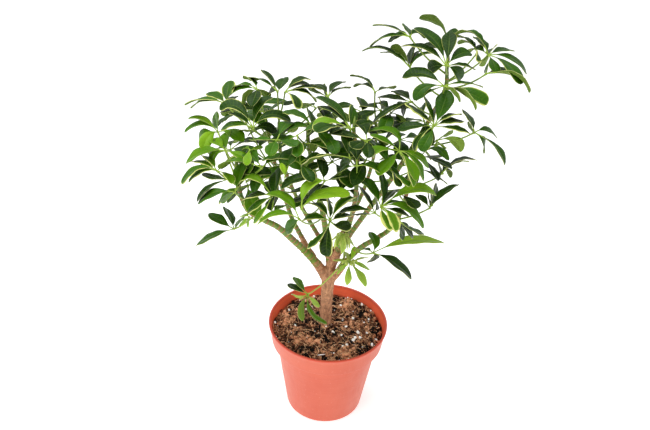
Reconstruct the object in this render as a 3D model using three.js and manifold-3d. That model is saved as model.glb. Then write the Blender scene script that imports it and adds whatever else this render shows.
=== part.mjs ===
// A potted schefflera: nursery pot, potting mix, forked trunk and leafy shoots.
// Millimetres, +Z up. The origin is the centre of the pot's flat underside.
import * as THREE from 'three';
import { mergeVertices } from 'three/addons/utils/BufferGeometryUtils.js';
import Module from 'manifold-3d';

const wasm = await Module();
wasm.setup();

// Pot
const POT_HEIGHT = 150;
const RIM_RADIUS = 86.5;
const COLLAR_HEIGHT = 31;
const COLLAR_FOOT_RADIUS = 82;
const BODY_TOP_RADIUS = 77;
const BASE_RADIUS = 57.5;
const WALL = 1.8;
const FLOOR = 2.4;
const LIP = 1.4;
const FOOT_ROUND = 2.5;
const DRAIN_RING = 38;
const DRAIN_RADIUS = 5;
const DRAINS = 5;
const POT_SIDES = 32;

// Potting mix
const SOIL_TOP = 135;
const SOIL_BUMP = 1.7;
const SOIL_RINGS = 4;
const CRUMBS = 9;
const CRUMB_SIZE = [2.2, 5.2];
const GRAIN_SIZE = [1.1, 2.1];

// Trunk
const TRUNK_FOOT = SOIL_TOP - 42;
const TRUNK_RADII = [9.6, 8.8, 8.5, 9.1, 9, 7];
const TRUNK_SIDES = 9;
const STEM_SIDES = 5;
const STEM_STATIONS = 8;
const ROOT_FLARE = 1.8;
const ROOT_SHARE = 0.2;
const GAP = 0.3;

// Leaves
const LEAFLET_SHORTEST = 38;
const LEAFLET_SLANT = 1.16;
const LEAFLET_USUAL = [44, 60];
const LEAFLET_ASPECT = 0.36;
const LEAFLET_WIDEST = 20;
const LEAFLET_LONG = 74;
const LEAFLET_ARCH = [0.14, 0.3];
const LEAFLET_DROP = [4, 16];
const LEAFLET_REACH = 1.3;
const LEAFLET_MIDDLE = { along: 0.55, lift: 0.11 };
const LEAFLET_FOLD = [0.1, 0.25];
const LEAF_LEAN = 0.42;
const NECK_AT = 0.16;
const WIDEST_AT = 0.6;
const LONG_LOWER = { at: 0.42, width: 0.84 };
const LONG_UPPER = { at: 0.76, width: 0.92 };
const BLADE_THICK = 1.3;
const NECK_HALF = 0.95;
const HUB_RADIUS = 2.3;
const HUB_HALF = 1.4;
const HUB_SPACING = THREE.MathUtils.degToRad(24);
const PETIOLE_RADIUS = 1.1;
const PETIOLE_SAG = 0.16;
const BEND_STEP = 3.5;
const BENDS = 24;

// The view in which the places in the crown are read, in pixels and millimetres.
const VIEW_CENTRE = [325, 215];
const VIEW_FOCAL = 780;
const VIEW_DISTANCE = 1042;
const VIEW_ELEVATION = THREE.MathUtils.degToRad(32.8);
const VIEW_ROLL = THREE.MathUtils.degToRad(3);
const VIEW_TARGET = new THREE.Vector3(-12.6, 0, 333.2);

// The two rounded masses that the leaf hubs lie on.
const CROWNS = {
  low: { centre: [-15, -5, 385], radii: [160, 98, 95] },
  top: { centre: [155, 30, 480], radii: [70, 60, 70] },
};

// White grains on the mix, as pixels of the view.
const GRAINS_SEEN = [
  [314, 296], [348, 297], [362, 305], [280, 309], [289, 309], [295, 325], [353, 318], [346, 327],
  [358, 331], [367, 332], [355, 338], [333, 332], [372, 341], [374, 309], [337, 344], [305, 341],
];

// Shoots: a route from the fork and the leaves it carries. A place is a pixel of the view
// with a depth behind the pot's axis; a leaf's hub lies on its crown, pushed back by "push".
// A leaflet is seen as the pixel of its tip and, for most, the pixel of its midrib's middle
// and its width in pixels, which is negative where its underside faces the viewer.
const SHOOTS = [
  {
    "name": "shoot_left_low", "crown": "low", "radii": [6.0, 2.2], "woody": 0.29,
    "route": [[327, 279, 6], [319, 266, 2], [311, 257, -4], [302, 248, -12], [292, 239, -20],
      [278, 227, -28], [262, 219, -36], [248, 210, -42], [240, 192, -44], [237, 172, -40],
      [236, 155, -34]],
    "leaves": [
      { "hub": [218, 132], "push": 0, "more": 0,
        "tips": [[188, 119, 204, 120.5, 4.8], [184.5, 132.5, 203, 124, 4.8],
          [214.5, 113.5, 216.5, 122.5, 6.5], [243.5, 141.5, 232, 132, 9],
          [199.5, 142, 203.5, 133.5, 8], [202.5, 149.5, 209, 136, 10.5]] },
      { "hub": [226, 151], "push": 5, "more": 0,
        "tips": [[186, 163.5, 204.5, 151.5, 7.5], [212.5, 166.5, 214, 154.5, 9],
          [248, 161, 237, 154, 7], [226, 132, 226.5, 141, 8], [210.5, 140, 217.5, 143.5, 8]] },
      { "hub": [217, 171], "push": 0, "more": 1,
        "tips": [[181.5, 184, 197.5, 168, 4.8], [188.5, 182.5, 203, 171.5, 4.5],
          [231.5, 184, 226.5, 175, 6], [193, 161.5, 205, 164, 4.5], [201.5, 155.5, 210, 161.5, 6]] },
      { "hub": [235, 192], "push": -5, "more": 0,
        "tips": [[198, 203.5, 214, 192.5, 8.5], [221, 200.3, 229.5, 196.5, 4.5],
          [242.5, 162.5, 239, 177, 9.5], [252, 161.5, 243.5, 178, 8]] },
      { "hub": [230, 179], "push": 8, "more": 1,
        "tips": [[197, 202, 210.5, 187, 4], [203, 173, 217, 178, 5]] },
      { "hub": [234, 229], "push": 0, "more": 0,
        "tips": [[210, 213, 220.5, 221, 9], [226, 208, 230.5, 218, 7.2], [196.5, 245, 214.5, 235, 6.8],
          [244, 216, 239, 223, 3.5]] },
      { "hub": [249, 217], "push": 0, "size": 0.6, "more": 0,
        "tips": [[239.5, 225, 245, 221, 3.5], [241, 216, 245.5, 215.5, 3.5],
          [247, 226, 248.5, 221.5, 2.5]] },
      { "hub": [262, 168], "push": 0, "more": 0,
        "tips": [[222, 169, 236, 160.5, 4], [282, 158], [246, 152], [251, 174.5, 257, 172, 3.5]] },
      { "hub": [250, 150], "push": 0, "size": 0.5, "more": 1,
        "tips": [[262, 146, 256, 148.5, 3.5], [243.5, 150.5, 246.5, 147.5, 2], [252, 158, 251, 154, 2.5]] },
      { "hub": [272, 196], "push": 0, "more": 0,
        "tips": [[244, 199.3, 257, 194.5, 6.5], [247.5, 212.5, 260.5, 203, 6],
          [253.5, 222, 263, 212, 4.5], [240, 184, 255, 178.5, 6]] },
      { "hub": [271.5, 213], "push": 0, "more": 0,
        "tips": [[273, 197.5, 272, 206, 10], [275, 171.5, 275.5, 184, 10], [287, 205.5, 279.5, 207.5, 5]] },
      { "hub": [248, 186], "push": 60, "more": 4, "tips": [] },
    ],
  },
  {
    "name": "shoot_left_high", "crown": "low", "radii": [4.0, 2.1], "woody": 0.24,
    "route": [[313, 258, -2], [306, 246, 4], [300, 234, 8], [293, 221, 10], [288, 207, 14],
      [281, 184, 14], [274, 160, 14], [269, 138, 16], [266, 118, 20]],
    "leaves": [
      { "hub": [226, 104], "push": 0, "more": 0,
        "tips": [[185, 105.5, 205, 98.8, 3.5], [192, 108, 206, 100, 4], [206.5, 93.5, 217.5, 97, 7.5],
          [230.5, 80.5, 227.5, 92, 10.5], [234.5, 96.5, 231, 99.5, 5]] },
      { "hub": [257, 89], "push": 0, "more": 0,
        "tips": [[232, 90.5, 243.5, 84, 2.5], [228.5, 96.8, 242, 88.5, 3.2],
          [244, 79.2, 252.5, 81, 1.8], [242.5, 104.5, 248.5, 94.5, -5.5],
          [251.5, 106.5, 255.5, 95, 11], [267, 98, 262.5, 91.5, -5.5]] },
      { "hub": [253, 128], "push": -5, "more": 0,
        "tips": [[272.5, 97.5, 259, 107.5, 7.5], [229.5, 113.5, 241, 118, 5],
          [221, 129.5, 236, 123.8, 5], [277, 131.5, 265, 126.5, 9], [291, 121, 270, 115, 8],
          [241.8, 129.8, 248, 131.5, -4], [219.5, 109.5, 237.5, 107.5, 9]] },
      { "hub": [285, 177], "push": -8, "size": 0.5, "more": 0,
        "tips": [[281, 163, 283.5, 170, 5], [288, 163, 286.5, 170, 4]] },
      { "hub": [242, 114], "push": 60, "more": 3, "tips": [] },
      { "hub": [266, 114], "push": 0, "more": 1,
        "tips": [[220, 112.5, 243, 106.5, 8.5], [283, 100.3, 274.5, 106.5, 3.5]] },
      { "hub": [277, 140], "push": 0, "more": 0,
        "tips": [[251.5, 140.5, 262, 139.5, 4], [290, 122], [297, 146], [270, 156]] },
      { "hub": [270, 160], "push": 44, "more": 4, "tips": [] },
    ],
  },
  {
    "name": "shoot_back_left", "crown": "low", "radii": [3.6, 2.0], "woody": 0.17,
    "route": [[329, 256, 6], [322, 242, 24], [309, 220, 44], [295, 194, 56], [284, 166, 62],
      [279, 140, 60], [279, 118, 54]],
    "leaves": [
      { "hub": [277.5, 91.5], "push": 0, "more": 0,
        "tips": [[262, 70, 270.5, 79.5, 4.3], [283.5, 78, 281.5, 85.5, 9.5], [250.5, 81, 262, 80, 3],
          [268.5, 94, 272.5, 90.5, 6]] },
      { "hub": [285, 92], "push": 0, "more": 0,
        "tips": [[310, 85, 296, 84, 4.8], [310, 79.5, 297.5, 80, 5], [297, 109, 294, 97.5, 7.2],
          [315.5, 102, 303.5, 91.5, 4], [322, 89, 305, 87, 2.5]] },
      { "hub": [250, 110], "push": 80, "more": 5, "tips": [] },
      { "hub": [230, 150], "push": 110, "more": 6, "tips": [] },
      { "hub": [285, 130], "push": 110, "more": 6, "tips": [] },
      { "hub": [262, 182], "push": 110, "more": 5, "tips": [] },
      { "hub": [256, 152], "push": 100, "more": 3, "tips": [] },
      { "hub": [316, 108], "push": 50, "more": 3, "tips": [] },
    ],
  },
  {
    "name": "shoot_middle", "crown": "low", "radii": [5.6, 2.1], "woody": 0.29,
    "route": [[328, 279, 6], [330, 265, 6], [328, 250, 6], [326, 234, 4], [323, 215, 0],
      [318, 190, -6], [312, 163, -14], [308, 140, -16], [308, 120, -12]],
    "leaves": [
      { "hub": [299, 219], "push": -34, "more": 0,
        "tips": [[265.5, 194.5, 286, 199, 10], [257, 225, 277, 213, 6], [286, 231, 294, 224, 9]] },
      { "hub": [301.5, 209], "push": -36, "more": 0,
        "tips": [[321.5, 180, 306.5, 188.5, 10], [350, 193, 320, 195, 9]] },
      { "hub": [310, 193], "push": 25, "more": 0,
        "tips": [[289, 193, 300, 190, 6], [291.5, 202, 302, 199, 5.5]] },
      { "hub": [297, 135.5], "push": 0, "more": 1,
        "tips": [[298, 157, 298.5, 147, 9.5], [282, 142, 289, 139, 6]] },
      { "hub": [326, 138], "push": 0, "more": 1,
        "tips": [[310, 124], [343, 130], [314, 152], [336, 154]] },
      { "hub": [300, 163], "push": 0, "more": 2,
        "tips": [[262.5, 160.5, 281, 157.5, 5], [325, 160], [312, 182]] },
      { "hub": [313, 128], "push": 0, "more": 1,
        "tips": [[282.5, 132.5, 297.5, 125.5, 5.5], [308, 109, 311, 119, 6.5], [282.5, 112, 300, 115, 5]] },
      { "hub": [324.5, 181], "push": -6, "more": 0,
        "tips": [[323, 157.5, 322.5, 170, 9], [281.5, 188, 301, 178, 8.5], [308, 195.5, 318, 188.5, 7],
          [345, 176.5, 336, 178, 2.5]] },
      { "hub": [332, 162], "push": 60, "more": 5, "tips": [] },
      { "hub": [304, 144], "push": 26, "more": 4, "tips": [] },
      { "hub": [316, 204], "push": 60, "more": 0,
        "tips": [[298, 196], [330, 187], [331, 203], [290, 205]] },
    ],
  },
  {
    "name": "shoot_centre", "crown": "low", "radii": [4.0, 2.1], "woody": 0.16,
    "route": [[330, 265, 5], [336, 254, -3], [343, 240, -14], [350, 222, -26], [355, 200, -34],
      [357, 176, -36], [357, 152, -30], [354, 132, -20], [355, 116, -8]],
    "leaves": [
      { "hub": [330, 221], "push": -6, "more": 0,
        "tips": [[309.5, 204, 321, 207.5, 6.5], [303, 220, 316, 217, 7.5], [328, 197, 329.5, 209, 5.5],
          [355, 197.5, 341, 205, 7], [350.5, 215, 340, 217, 6], [350, 223, 339.5, 227, 8],
          [327, 256.5, 327, 240, 12.5], [307.5, 247, 318.5, 240, 6]] },
      { "hub": [328, 97], "push": 0, "more": 0,
        "tips": [[310, 85.5, 321.5, 86.5, 6], [345, 82.5, 334.5, 86, 6], [350, 88.5, 337.5, 89.5, 1.8],
          [310, 91, 318, 92.5, -3], [323.5, 88.5, 326, 92.5, -6]] },
      { "hub": [333, 113], "push": 0, "more": 0,
        "tips": [[352, 104.5, 342, 106, 7], [322, 126], [348, 122]] },
      { "hub": [350, 129], "push": 0, "more": 0,
        "tips": [[316, 97, 337, 109.5, 6.5], [318, 106.3, 335, 112.5, 5],
          [353.5, 107, 351.5, 117.5, 9.5], [314, 129.5, 329, 121.5, 7], [331, 131, 341, 124.5, 6],
          [315, 133, 330, 126.5, 5], [371, 121.5, 361, 124.5, 8]] },
      { "hub": [350, 158], "push": -4, "more": 0,
        "tips": [[310.5, 140, 331, 143, 10], [346, 132.5, 347.5, 146, 11],
          [303.5, 168.5, 323, 156.5, 2.5], [340, 165, 348.5, 162.5, 10]] },
      { "hub": [357, 166], "push": -10, "more": 2,
        "tips": [[335, 180], [382, 174]] },
      { "hub": [340, 196], "push": 10, "more": 0,
        "tips": [[322, 196], [345, 178]] },
      { "hub": [367, 141], "push": 0, "more": 1,
        "tips": [[352, 148], [385, 146], [368, 158], [360, 126]] },
      { "hub": [366, 160], "push": 40, "more": 4, "tips": [] },
      { "hub": [345, 190], "push": 60, "more": 0,
        "tips": [[357, 202], [334, 197]] },
    ],
  },
  {
    "name": "shoot_right", "crown": "low", "radii": [4.6, 2.1], "woody": 0.25,
    "route": [[331, 279, 5], [338, 272, 1], [346, 262, -7], [360, 248, -20], [377, 238, -30],
      [390, 229, -38], [400, 214, -44], [406, 196, -44], [409, 178, -38], [411, 162, -28]],
    "leaves": [
      { "hub": [381, 207], "push": 0, "more": 0,
        "tips": [[359.5, 177.5, 372.5, 190, 8.5], [381, 172, 383.8, 188, 7.5],
          [436, 195, 412, 189.5, 9.5], [423.5, 228.5, 405.5, 207, 8.5], [391, 231, 384, 217, 7.5],
          [396.5, 232.5, 391.5, 216, 8.5], [394.5, 190, 387, 198, 6.5],
          [407, 204.5, 395.5, 201.5, 3.5], [409.5, 216.5, 398, 211.5, 5.5]] },
      { "hub": [375, 213], "push": 8, "more": 0,
        "tips": [[359.5, 186, 368.5, 200.5, 3.8], [336, 215.5, 356, 209, 6.5],
          [354, 214.3, 364, 214.8, 1.6], [375, 198, 376.5, 205, 2.5]] },
      { "hub": [430, 208], "push": 0, "more": 0,
        "tips": [[458.5, 184.7, 442.5, 194.5, 7], [437, 185.5, 434, 196, 6.5],
          [417.5, 195, 423.5, 200.5, 6], [428, 195.5, 429.5, 201, 2.5], [431.5, 194, 431.5, 201, 3.5]] },
      { "hub": [399.5, 220.5], "push": 12, "more": 0,
        "tips": [[413, 237, 404.5, 227, 5.5], [404.5, 237.5, 400.5, 229, 5],
          [422.5, 232.5, 411, 229.5, 3]] },
      { "hub": [373, 253], "push": 0, "more": 0,
        "tips": [[444.5, 243.3, 408.5, 241, 9.5], [411.5, 278.5, 392.5, 261.5, 8.5],
          [370, 232, 375, 242.5, 8], [368, 262.5, 374.5, 257, 6.5], [357.5, 251, 365.5, 249, 2.5]] },
      { "hub": [399, 151], "push": 0, "more": 0,
        "tips": [[370, 134.5, 385.5, 140, 5.5], [367, 131, 394, 131.5, 6], [367, 157, 381, 149.5, 6.5],
          [378, 175.5, 389, 162.5, 10], [428.5, 167.5, 416.5, 155, 6.5], [416, 181, 409.5, 163.5, 7.5],
          [423.5, 181, 414.5, 160, 5], [413, 187, 407.5, 168, 5]] },
      { "hub": [399, 193], "push": 14, "more": 0,
        "tips": [[415.5, 209, 411, 202, 9], [404.5, 188.5, 402, 190.5, 3]] },
      { "hub": [390, 169], "push": 4, "more": 1,
        "tips": [[409, 187, 400, 178, 5], [396.5, 186, 396, 177, 5]] },
    ],
  },
  {
    "name": "shoot_back_right", "crown": "low", "radii": [3.6, 2.0], "woody": 0.17,
    "route": [[330, 262, 6], [335, 248, 24], [347, 224, 46], [362, 194, 58], [372, 164, 64],
      [376, 140, 62], [376, 120, 56]],
    "leaves": [
      { "hub": [375, 92], "push": 0, "more": 0,
        "tips": [[350, 76.2, 366, 80, 2], [354.5, 87.3, 366, 84.5, 4], [394, 89, 385, 88.3, 1.8]] },
      { "hub": [381, 110.5], "push": 0, "more": 0,
        "tips": [[360, 107.5, 371, 106, 5], [357, 118, 369, 112.5, 6.5], [381, 101, 381.3, 105.5, 6]] },
      { "hub": [362, 112], "push": 8, "more": 2,
        "tips": [[360.5, 98, 362, 105.5, 8.5]] },
      { "hub": [391, 113], "push": 0, "more": 1,
        "tips": [[374, 106], [408, 108], [402, 130]] },
      { "hub": [404, 123.5], "push": 0, "more": 0,
        "tips": [[385.5, 118.8, 395, 119, 4.5], [386, 124.5, 395, 124, 5], [419, 120.5, 411, 119.5, 4]] },
      { "hub": [345, 120], "push": 100, "more": 5, "tips": [] },
      { "hub": [400, 140], "push": 90, "more": 6, "tips": [] },
      { "hub": [375, 150], "push": 110, "more": 6, "tips": [] },
      { "hub": [418, 168], "push": 70, "more": 3, "tips": [] },
    ],
  },
  {
    "name": "shoot_top", "crown": "top", "radii": [4.4, 2.2], "woody": 0.12,
    "route": [[330, 270, 6], [337, 256, 12], [349, 236, 22], [368, 210, 32], [392, 178, 38],
      [417, 140, 42], [436, 108, 40], [446, 86, 36], [447, 66, 32], [449, 54, 30]],
    "leaves": [
      { "hub": [410, 37], "push": 0, "more": 0,
        "tips": [[373, 26, 391, 27, 2], [371, 47, 388, 36, 3], [388, 42, 400, 34.5, 5.5],
          [405, 25, 408.5, 31, 7], [424, 38.5, 416, 32, 3]] },
      { "hub": [410, 68], "push": 0, "more": 0,
        "tips": [[362, 51.5, 386, 49.5, 3.5], [380, 53, 396, 54.5, 3], [390, 49, 402.5, 55, -7],
          [411.5, 47.5, 410.5, 57, 6], [419, 50.5, 414, 58.5, 5], [438, 53.5, 420, 56, 2.5]] },
      { "hub": [446, 66], "push": -10, "more": 0,
        "tips": [[414, 28, 435, 41, 10], [449, 32.5, 449, 46, 12.5], [401, 46.5, 427, 49, 6.2],
          [428, 69, 437, 65.5, 11.5], [470, 52.5, 459, 54.5, 9], [461, 79.5, 456, 70.5, 10],
          [475, 70, 461, 65, 3]] },
      { "hub": [447, 51], "push": 10, "more": 0,
        "tips": [[419, 18.5, 441.5, 27, -3], [453, 28.5, 451, 40, 9], [423, 44.3, 434, 46.5, 4.5]] },
      { "hub": [444, 86], "push": -4, "more": 0,
        "tips": [[402.5, 76.5, 424.5, 74.5, 8], [414.5, 100.5, 425, 87.5, 9],
          [488, 103.5, 468, 93, 9.5], [482.5, 87.5, 464, 82.5, 3], [460.5, 101.5, 454, 92, -4.5],
          [475.5, 110.5, 465, 94, -3.5], [416, 101, 430, 91.5, 2.5]] },
      { "hub": [434, 126], "push": -8, "more": 0,
        "tips": [[406, 103.5, 421, 114, 6.5], [425.5, 97.5, 430, 110, 5], [447.5, 90, 442.5, 108, 14],
          [439.5, 102, 434.8, 115, 4.5], [464.5, 122, 449, 121.5, 6.5], [461, 115, 448, 116, 5],
          [470, 133.8, 454, 128.8, 5.2], [398, 129, 415, 125.8, 7], [420.5, 151, 428, 138.5, 10.5],
          [414.5, 151.5, 419, 138, 6]] },
      { "hub": [488, 55], "push": 0, "more": 0,
        "tips": [[454, 36, 475, 34, 4], [473.5, 37, 483.5, 44, 6.5], [470, 53, 477.5, 48.5, 5.5],
          [512.5, 51.3, 501, 50, 5], [526.5, 73.5, 511, 58, 4.5], [520.5, 84.5, 508.5, 65, 7],
          [494.5, 72, 493.5, 63, 8], [484.5, 66, 485.5, 60, -5], [493.5, 48, 491, 51, 4]] },
      { "hub": [477, 53], "push": 10, "more": 0,
        "tips": [[456, 37.5, 468, 39.5, 3.5], [458.5, 44.5, 470, 43, 2.5], [476, 60.5, 478, 55.5, 5]] },
      { "hub": [486, 74], "push": 5, "more": 0,
        "tips": [[514.5, 76.5, 501, 73, 2], [508, 68.5, 498, 69.5, 5], [529, 93, 514, 74.5, -2.5],
          [489, 62, 487.5, 68, 2]] },
      { "hub": [474.5, 132.5], "push": 0, "more": 0,
        "tips": [[463.5, 110, 470.5, 120, 5.5], [496.5, 138, 487, 129.5, 5],
          [504.5, 165.5, 495, 146.5, 4], [483, 151, 483.5, 141, 5], [468.5, 127.5, 471.5, 128.5, -4]] },
      { "hub": [412, 102], "push": 0, "more": 0,
        "tips": [[393.5, 91, 403.5, 94.5, 7], [378, 97.5, 395, 98.5, 5], [373, 121.5, 392, 108, 5.2],
          [402.5, 115, 405.5, 106.5, 6.5]] },
      { "hub": [440, 176], "push": 0, "more": 0,
        "tips": [[439, 164, 440, 170, 4], [449.5, 177.5, 446.5, 167.5, 5.5],
          [477, 160.5, 457, 160.5, 3], [468, 162, 454, 163.5, 2.5]] },
      { "hub": [421, 156], "push": 10, "more": 0,
        "tips": [[448.7, 160.5, 435, 148, 4.5], [443, 155, 431, 157, 2.5], [452, 169, 438, 160.5, 5],
          [438.5, 181, 431.5, 168, 4.2]] },
      { "hub": [437, 140.5], "push": 6, "more": 0,
        "tips": [[460.5, 152, 453.5, 140, -7.5], [452, 134, 445, 135.5, -2],
          [443.5, 148, 439, 143.5, -2.5], [436, 147, 436.5, 144, -3]] },
      { "hub": [424, 121], "push": 26, "more": 3, "tips": [] },
    ],
  },
  {
    "name": "shoot_young", "crown": "low", "radii": [2.6, 1.4], "woody": 0.3,
    "route": [[332, 278, 3], [337, 270, -9], [341, 264, -18], [344, 258, -23], [344, 250, -26]],
    "leaves": [
      { "hub": [349.5, 262], "at": -30, "size": 0.75, "more": 0,
        "tips": [[337, 273, 343, 267.5, 3.5], [347.5, 285, 348.5, 273.5, 6],
          [366, 286.5, 358.5, 273, 5.5], [369.5, 269.5, 360, 264.5, 4.5],
          [354, 246.5, 353.5, 254, 4.5], [346, 252, 347.5, 257, 4], [334, 260, 341, 260.5, 3.5],
          [368, 257.5, 360.5, 259, 2]] },
      { "hub": [308, 294], "at": -40, "size": 0.85, "more": 0,
        "tips": [[296, 277.5, 300, 285.5, 5.5], [289, 283.5, 297, 289, 6],
          [293.5, 294.5, 298.5, 297.5, -5], [303.3, 320.5, 301.5, 308, -6.5],
          [327, 324, 311, 314, 5.5], [319, 304, 312.5, 301, 4]] },
      { "hub": [343, 235], "at": -30, "size": 0.5, "more": 0,
        "tips": [[337, 247, 338, 239, 3.5], [341.5, 254, 342.5, 244, 3.5], [331, 241, 337, 237, 2],
          [354, 246, 349, 239, 3], [335.5, 245, 338.5, 239, 3], [346, 249, 345, 241, 3]] },
    ],
  },
];

// Vectors
const UP = new THREE.Vector3(0, 0, 1);
const vec = (x, y, z) => new THREE.Vector3(x, y, z);
const unit = (v) => v.clone().normalize();
const cross = (a, b) => new THREE.Vector3().crossVectors(a, b);
const along = (from, direction, amount) => from.clone().addScaledVector(direction, amount);

// A seeded generator of numbers between 0 and 1.
function seeded(seed) {
  let state = (seed * 7919 + 12345) % 2147483647;
  return () => {
    state = (state * 48271) % 2147483647;
    return state / 2147483647;
  };
}

// The line of sight through a pixel of the view.
const VIEW_FORWARD = vec(0, Math.cos(VIEW_ELEVATION), -Math.sin(VIEW_ELEVATION));
const VIEW_EYE = along(VIEW_TARGET, VIEW_FORWARD, -VIEW_DISTANCE);
const VIEW_LEVEL_UP = vec(0, Math.sin(VIEW_ELEVATION), Math.cos(VIEW_ELEVATION));
const VIEW_RIGHT = vec(Math.cos(VIEW_ROLL), 0, 0).addScaledVector(VIEW_LEVEL_UP, Math.sin(VIEW_ROLL));
const VIEW_UP = vec(-Math.sin(VIEW_ROLL), 0, 0).addScaledVector(VIEW_LEVEL_UP, Math.cos(VIEW_ROLL));

function sightLine([column, row]) {
  const aim = VIEW_FORWARD.clone();
  aim.addScaledVector(VIEW_RIGHT, (column - VIEW_CENTRE[0]) / VIEW_FOCAL);
  aim.addScaledVector(VIEW_UP, (VIEW_CENTRE[1] - row) / VIEW_FOCAL);
  return unit(aim);
}

function seenAtDepth(pixel, depth) {
  const aim = sightLine(pixel);
  return along(VIEW_EYE, aim, (depth - VIEW_EYE.y) / aim.y);
}

function seenAtHeight(pixel, height) {
  const aim = sightLine(pixel);
  return along(VIEW_EYE, aim, (height - VIEW_EYE.z) / aim.z);
}

// Where the line of sight first meets a crown, or passes it nearest.
function seenOnCrown(pixel, crown, push) {
  const aim = sightLine(pixel);
  const radii = vec(...crown.radii);
  const start = VIEW_EYE.clone().sub(vec(...crown.centre)).divide(radii);
  const step = aim.clone().divide(radii);
  const a = step.lengthSq();
  const half = start.dot(step);
  const inside = Math.max(0, half * half - a * (start.lengthSq() - 1));
  return along(VIEW_EYE, aim, (-half - Math.sqrt(inside)) / a + push);
}

// The place on the line of sight through a pixel that is nearest to another place.
function seenNear(pixel, place) {
  const aim = sightLine(pixel);
  return along(VIEW_EYE, aim, place.clone().sub(VIEW_EYE).dot(aim));
}

// Solids
function solidOf(points, faces) {
  const vertProperties = new Float32Array(points.flatMap((p) => [p.x, p.y, p.z]));
  const triVerts = new Uint32Array(faces.flat());
  return new wasm.Manifold(new wasm.Mesh({ numProp: 3, vertProperties, triVerts }));
}

function solidOfGeometry(geometry) {
  geometry.deleteAttribute('normal');
  geometry.deleteAttribute('uv');
  const merged = mergeVertices(geometry, 1e-4);
  const vertProperties = new Float32Array(merged.attributes.position.array);
  const triVerts = new Uint32Array(merged.index.array);
  return new wasm.Manifold(new wasm.Mesh({ numProp: 3, vertProperties, triVerts }));
}

// The one body of a fused solid, without the slivers that rounding leaves.
function oneBody(solid) {
  const bodies = solid.decompose().sort((a, b) => b.volume() - a.volume());
  if (bodies.length > 1 && bodies[1].volume() > 0.01) {
    throw new Error(`a piece of ${bodies[1].volume()} cubic millimetres is loose`);
  }
  return bodies[0];
}

function meshOf(name, solid, material) {
  const { vertProperties, triVerts } = solid.getMesh();
  const geometry = new THREE.BufferGeometry();
  geometry.setAttribute('position', new THREE.BufferAttribute(vertProperties.slice(), 3));
  geometry.setIndex(new THREE.BufferAttribute(triVerts.slice(), 1));
  geometry.computeVertexNormals();
  const mesh = new THREE.Mesh(geometry, material);
  mesh.name = name;
  return mesh;
}

// A closed tube with a radius of its own at each station of a curve.
function taperedTube(stations, sides) {
  const points = [];
  const faces = [];
  let side = null;
  for (const { at, heading, radius } of stations) {
    const lead = side === null ? (Math.abs(heading.x) < 0.8 ? vec(1, 0, 0) : vec(0, 1, 0)) : side;
    side = unit(along(lead, heading, -lead.dot(heading)));
    const other = cross(heading, side);
    for (let i = 0; i < sides; i += 1) {
      const turn = (2 * Math.PI * i) / sides;
      points.push(along(along(at, side, radius * Math.cos(turn)), other, radius * Math.sin(turn)));
    }
  }
  for (let k = 0; k + 1 < stations.length; k += 1) {
    for (let i = 0; i < sides; i += 1) {
      const a = k * sides + i;
      const b = k * sides + ((i + 1) % sides);
      faces.push([a, b, b + sides], [a, b + sides, a + sides]);
    }
  }
  const last = (stations.length - 1) * sides;
  for (let i = 1; i + 1 < sides; i += 1) {
    faces.push([0, i + 1, i], [last, last + i, last + i + 1]);
  }
  return solidOf(points, faces);
}

function stationsOf(curve, from, to, count, radiusAt) {
  return Array.from({ length: count }, (_, k) => {
    const share = from + ((to - from) * k) / (count - 1);
    return { at: curve.getPoint(share), heading: curve.getTangent(share), radius: radiusAt(share) };
  });
}

// Pot
function potSolid() {
  const shoulder = POT_HEIGHT - COLLAR_HEIGHT;
  const outline = [
    [0, 0],
    [BASE_RADIUS - FOOT_ROUND, 0],
    [BASE_RADIUS, FOOT_ROUND],
    [BODY_TOP_RADIUS - 2.4, shoulder],
    [COLLAR_FOOT_RADIUS, shoulder + 2],
    [RIM_RADIUS - LIP, POT_HEIGHT - 2.4],
    [RIM_RADIUS, POT_HEIGHT - 1],
    [RIM_RADIUS - 0.8, POT_HEIGHT],
    [RIM_RADIUS - LIP - WALL, POT_HEIGHT - 0.3],
    [COLLAR_FOOT_RADIUS - WALL - 0.6, shoulder + 4],
    [BODY_TOP_RADIUS - 2.4 - WALL, shoulder - 1],
    [BASE_RADIUS - WALL - 1, FLOOR],
    [0, FLOOR],
  ];
  const profile = outline.map(([radius, height]) => new THREE.Vector2(radius, height));
  const shell = new THREE.LatheGeometry(profile, POT_SIDES);
  shell.rotateX(Math.PI / 2);
  let pot = solidOfGeometry(shell);
  for (let i = 0; i < DRAINS; i += 1) {
    const turn = (2 * Math.PI * i) / DRAINS;
    const drain = new THREE.CylinderGeometry(DRAIN_RADIUS, DRAIN_RADIUS, 4 * FLOOR, 8);
    drain.rotateX(Math.PI / 2);
    drain.translate(DRAIN_RING * Math.cos(turn), DRAIN_RING * Math.sin(turn), FLOOR / 2);
    pot = pot.subtract(solidOfGeometry(drain));
  }
  return pot;
}

// Radius of the pot's inside at a height.
function insideRadius(height) {
  const shoulder = POT_HEIGHT - COLLAR_HEIGHT;
  if (height < shoulder - 1) {
    const share = (height - FLOOR) / (shoulder - 1 - FLOOR);
    const foot = BASE_RADIUS - WALL - 1;
    return foot + share * (BODY_TOP_RADIUS - 2.4 - WALL - foot);
  }
  const share = Math.max(0, (height - shoulder - 4) / (COLLAR_HEIGHT - 4.3));
  const foot = COLLAR_FOOT_RADIUS - WALL - 0.6;
  return foot + share * (RIM_RADIUS - LIP - WALL - foot);
}

// Soil
function soilHeight(x, y) {
  const waves = Math.sin(x * 0.061 + 1.1) * Math.cos(y * 0.053 - 0.4) + 0.4 * Math.sin(x * 0.08 - y * 0.07);
  return SOIL_TOP + SOIL_BUMP * waves;
}

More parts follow.
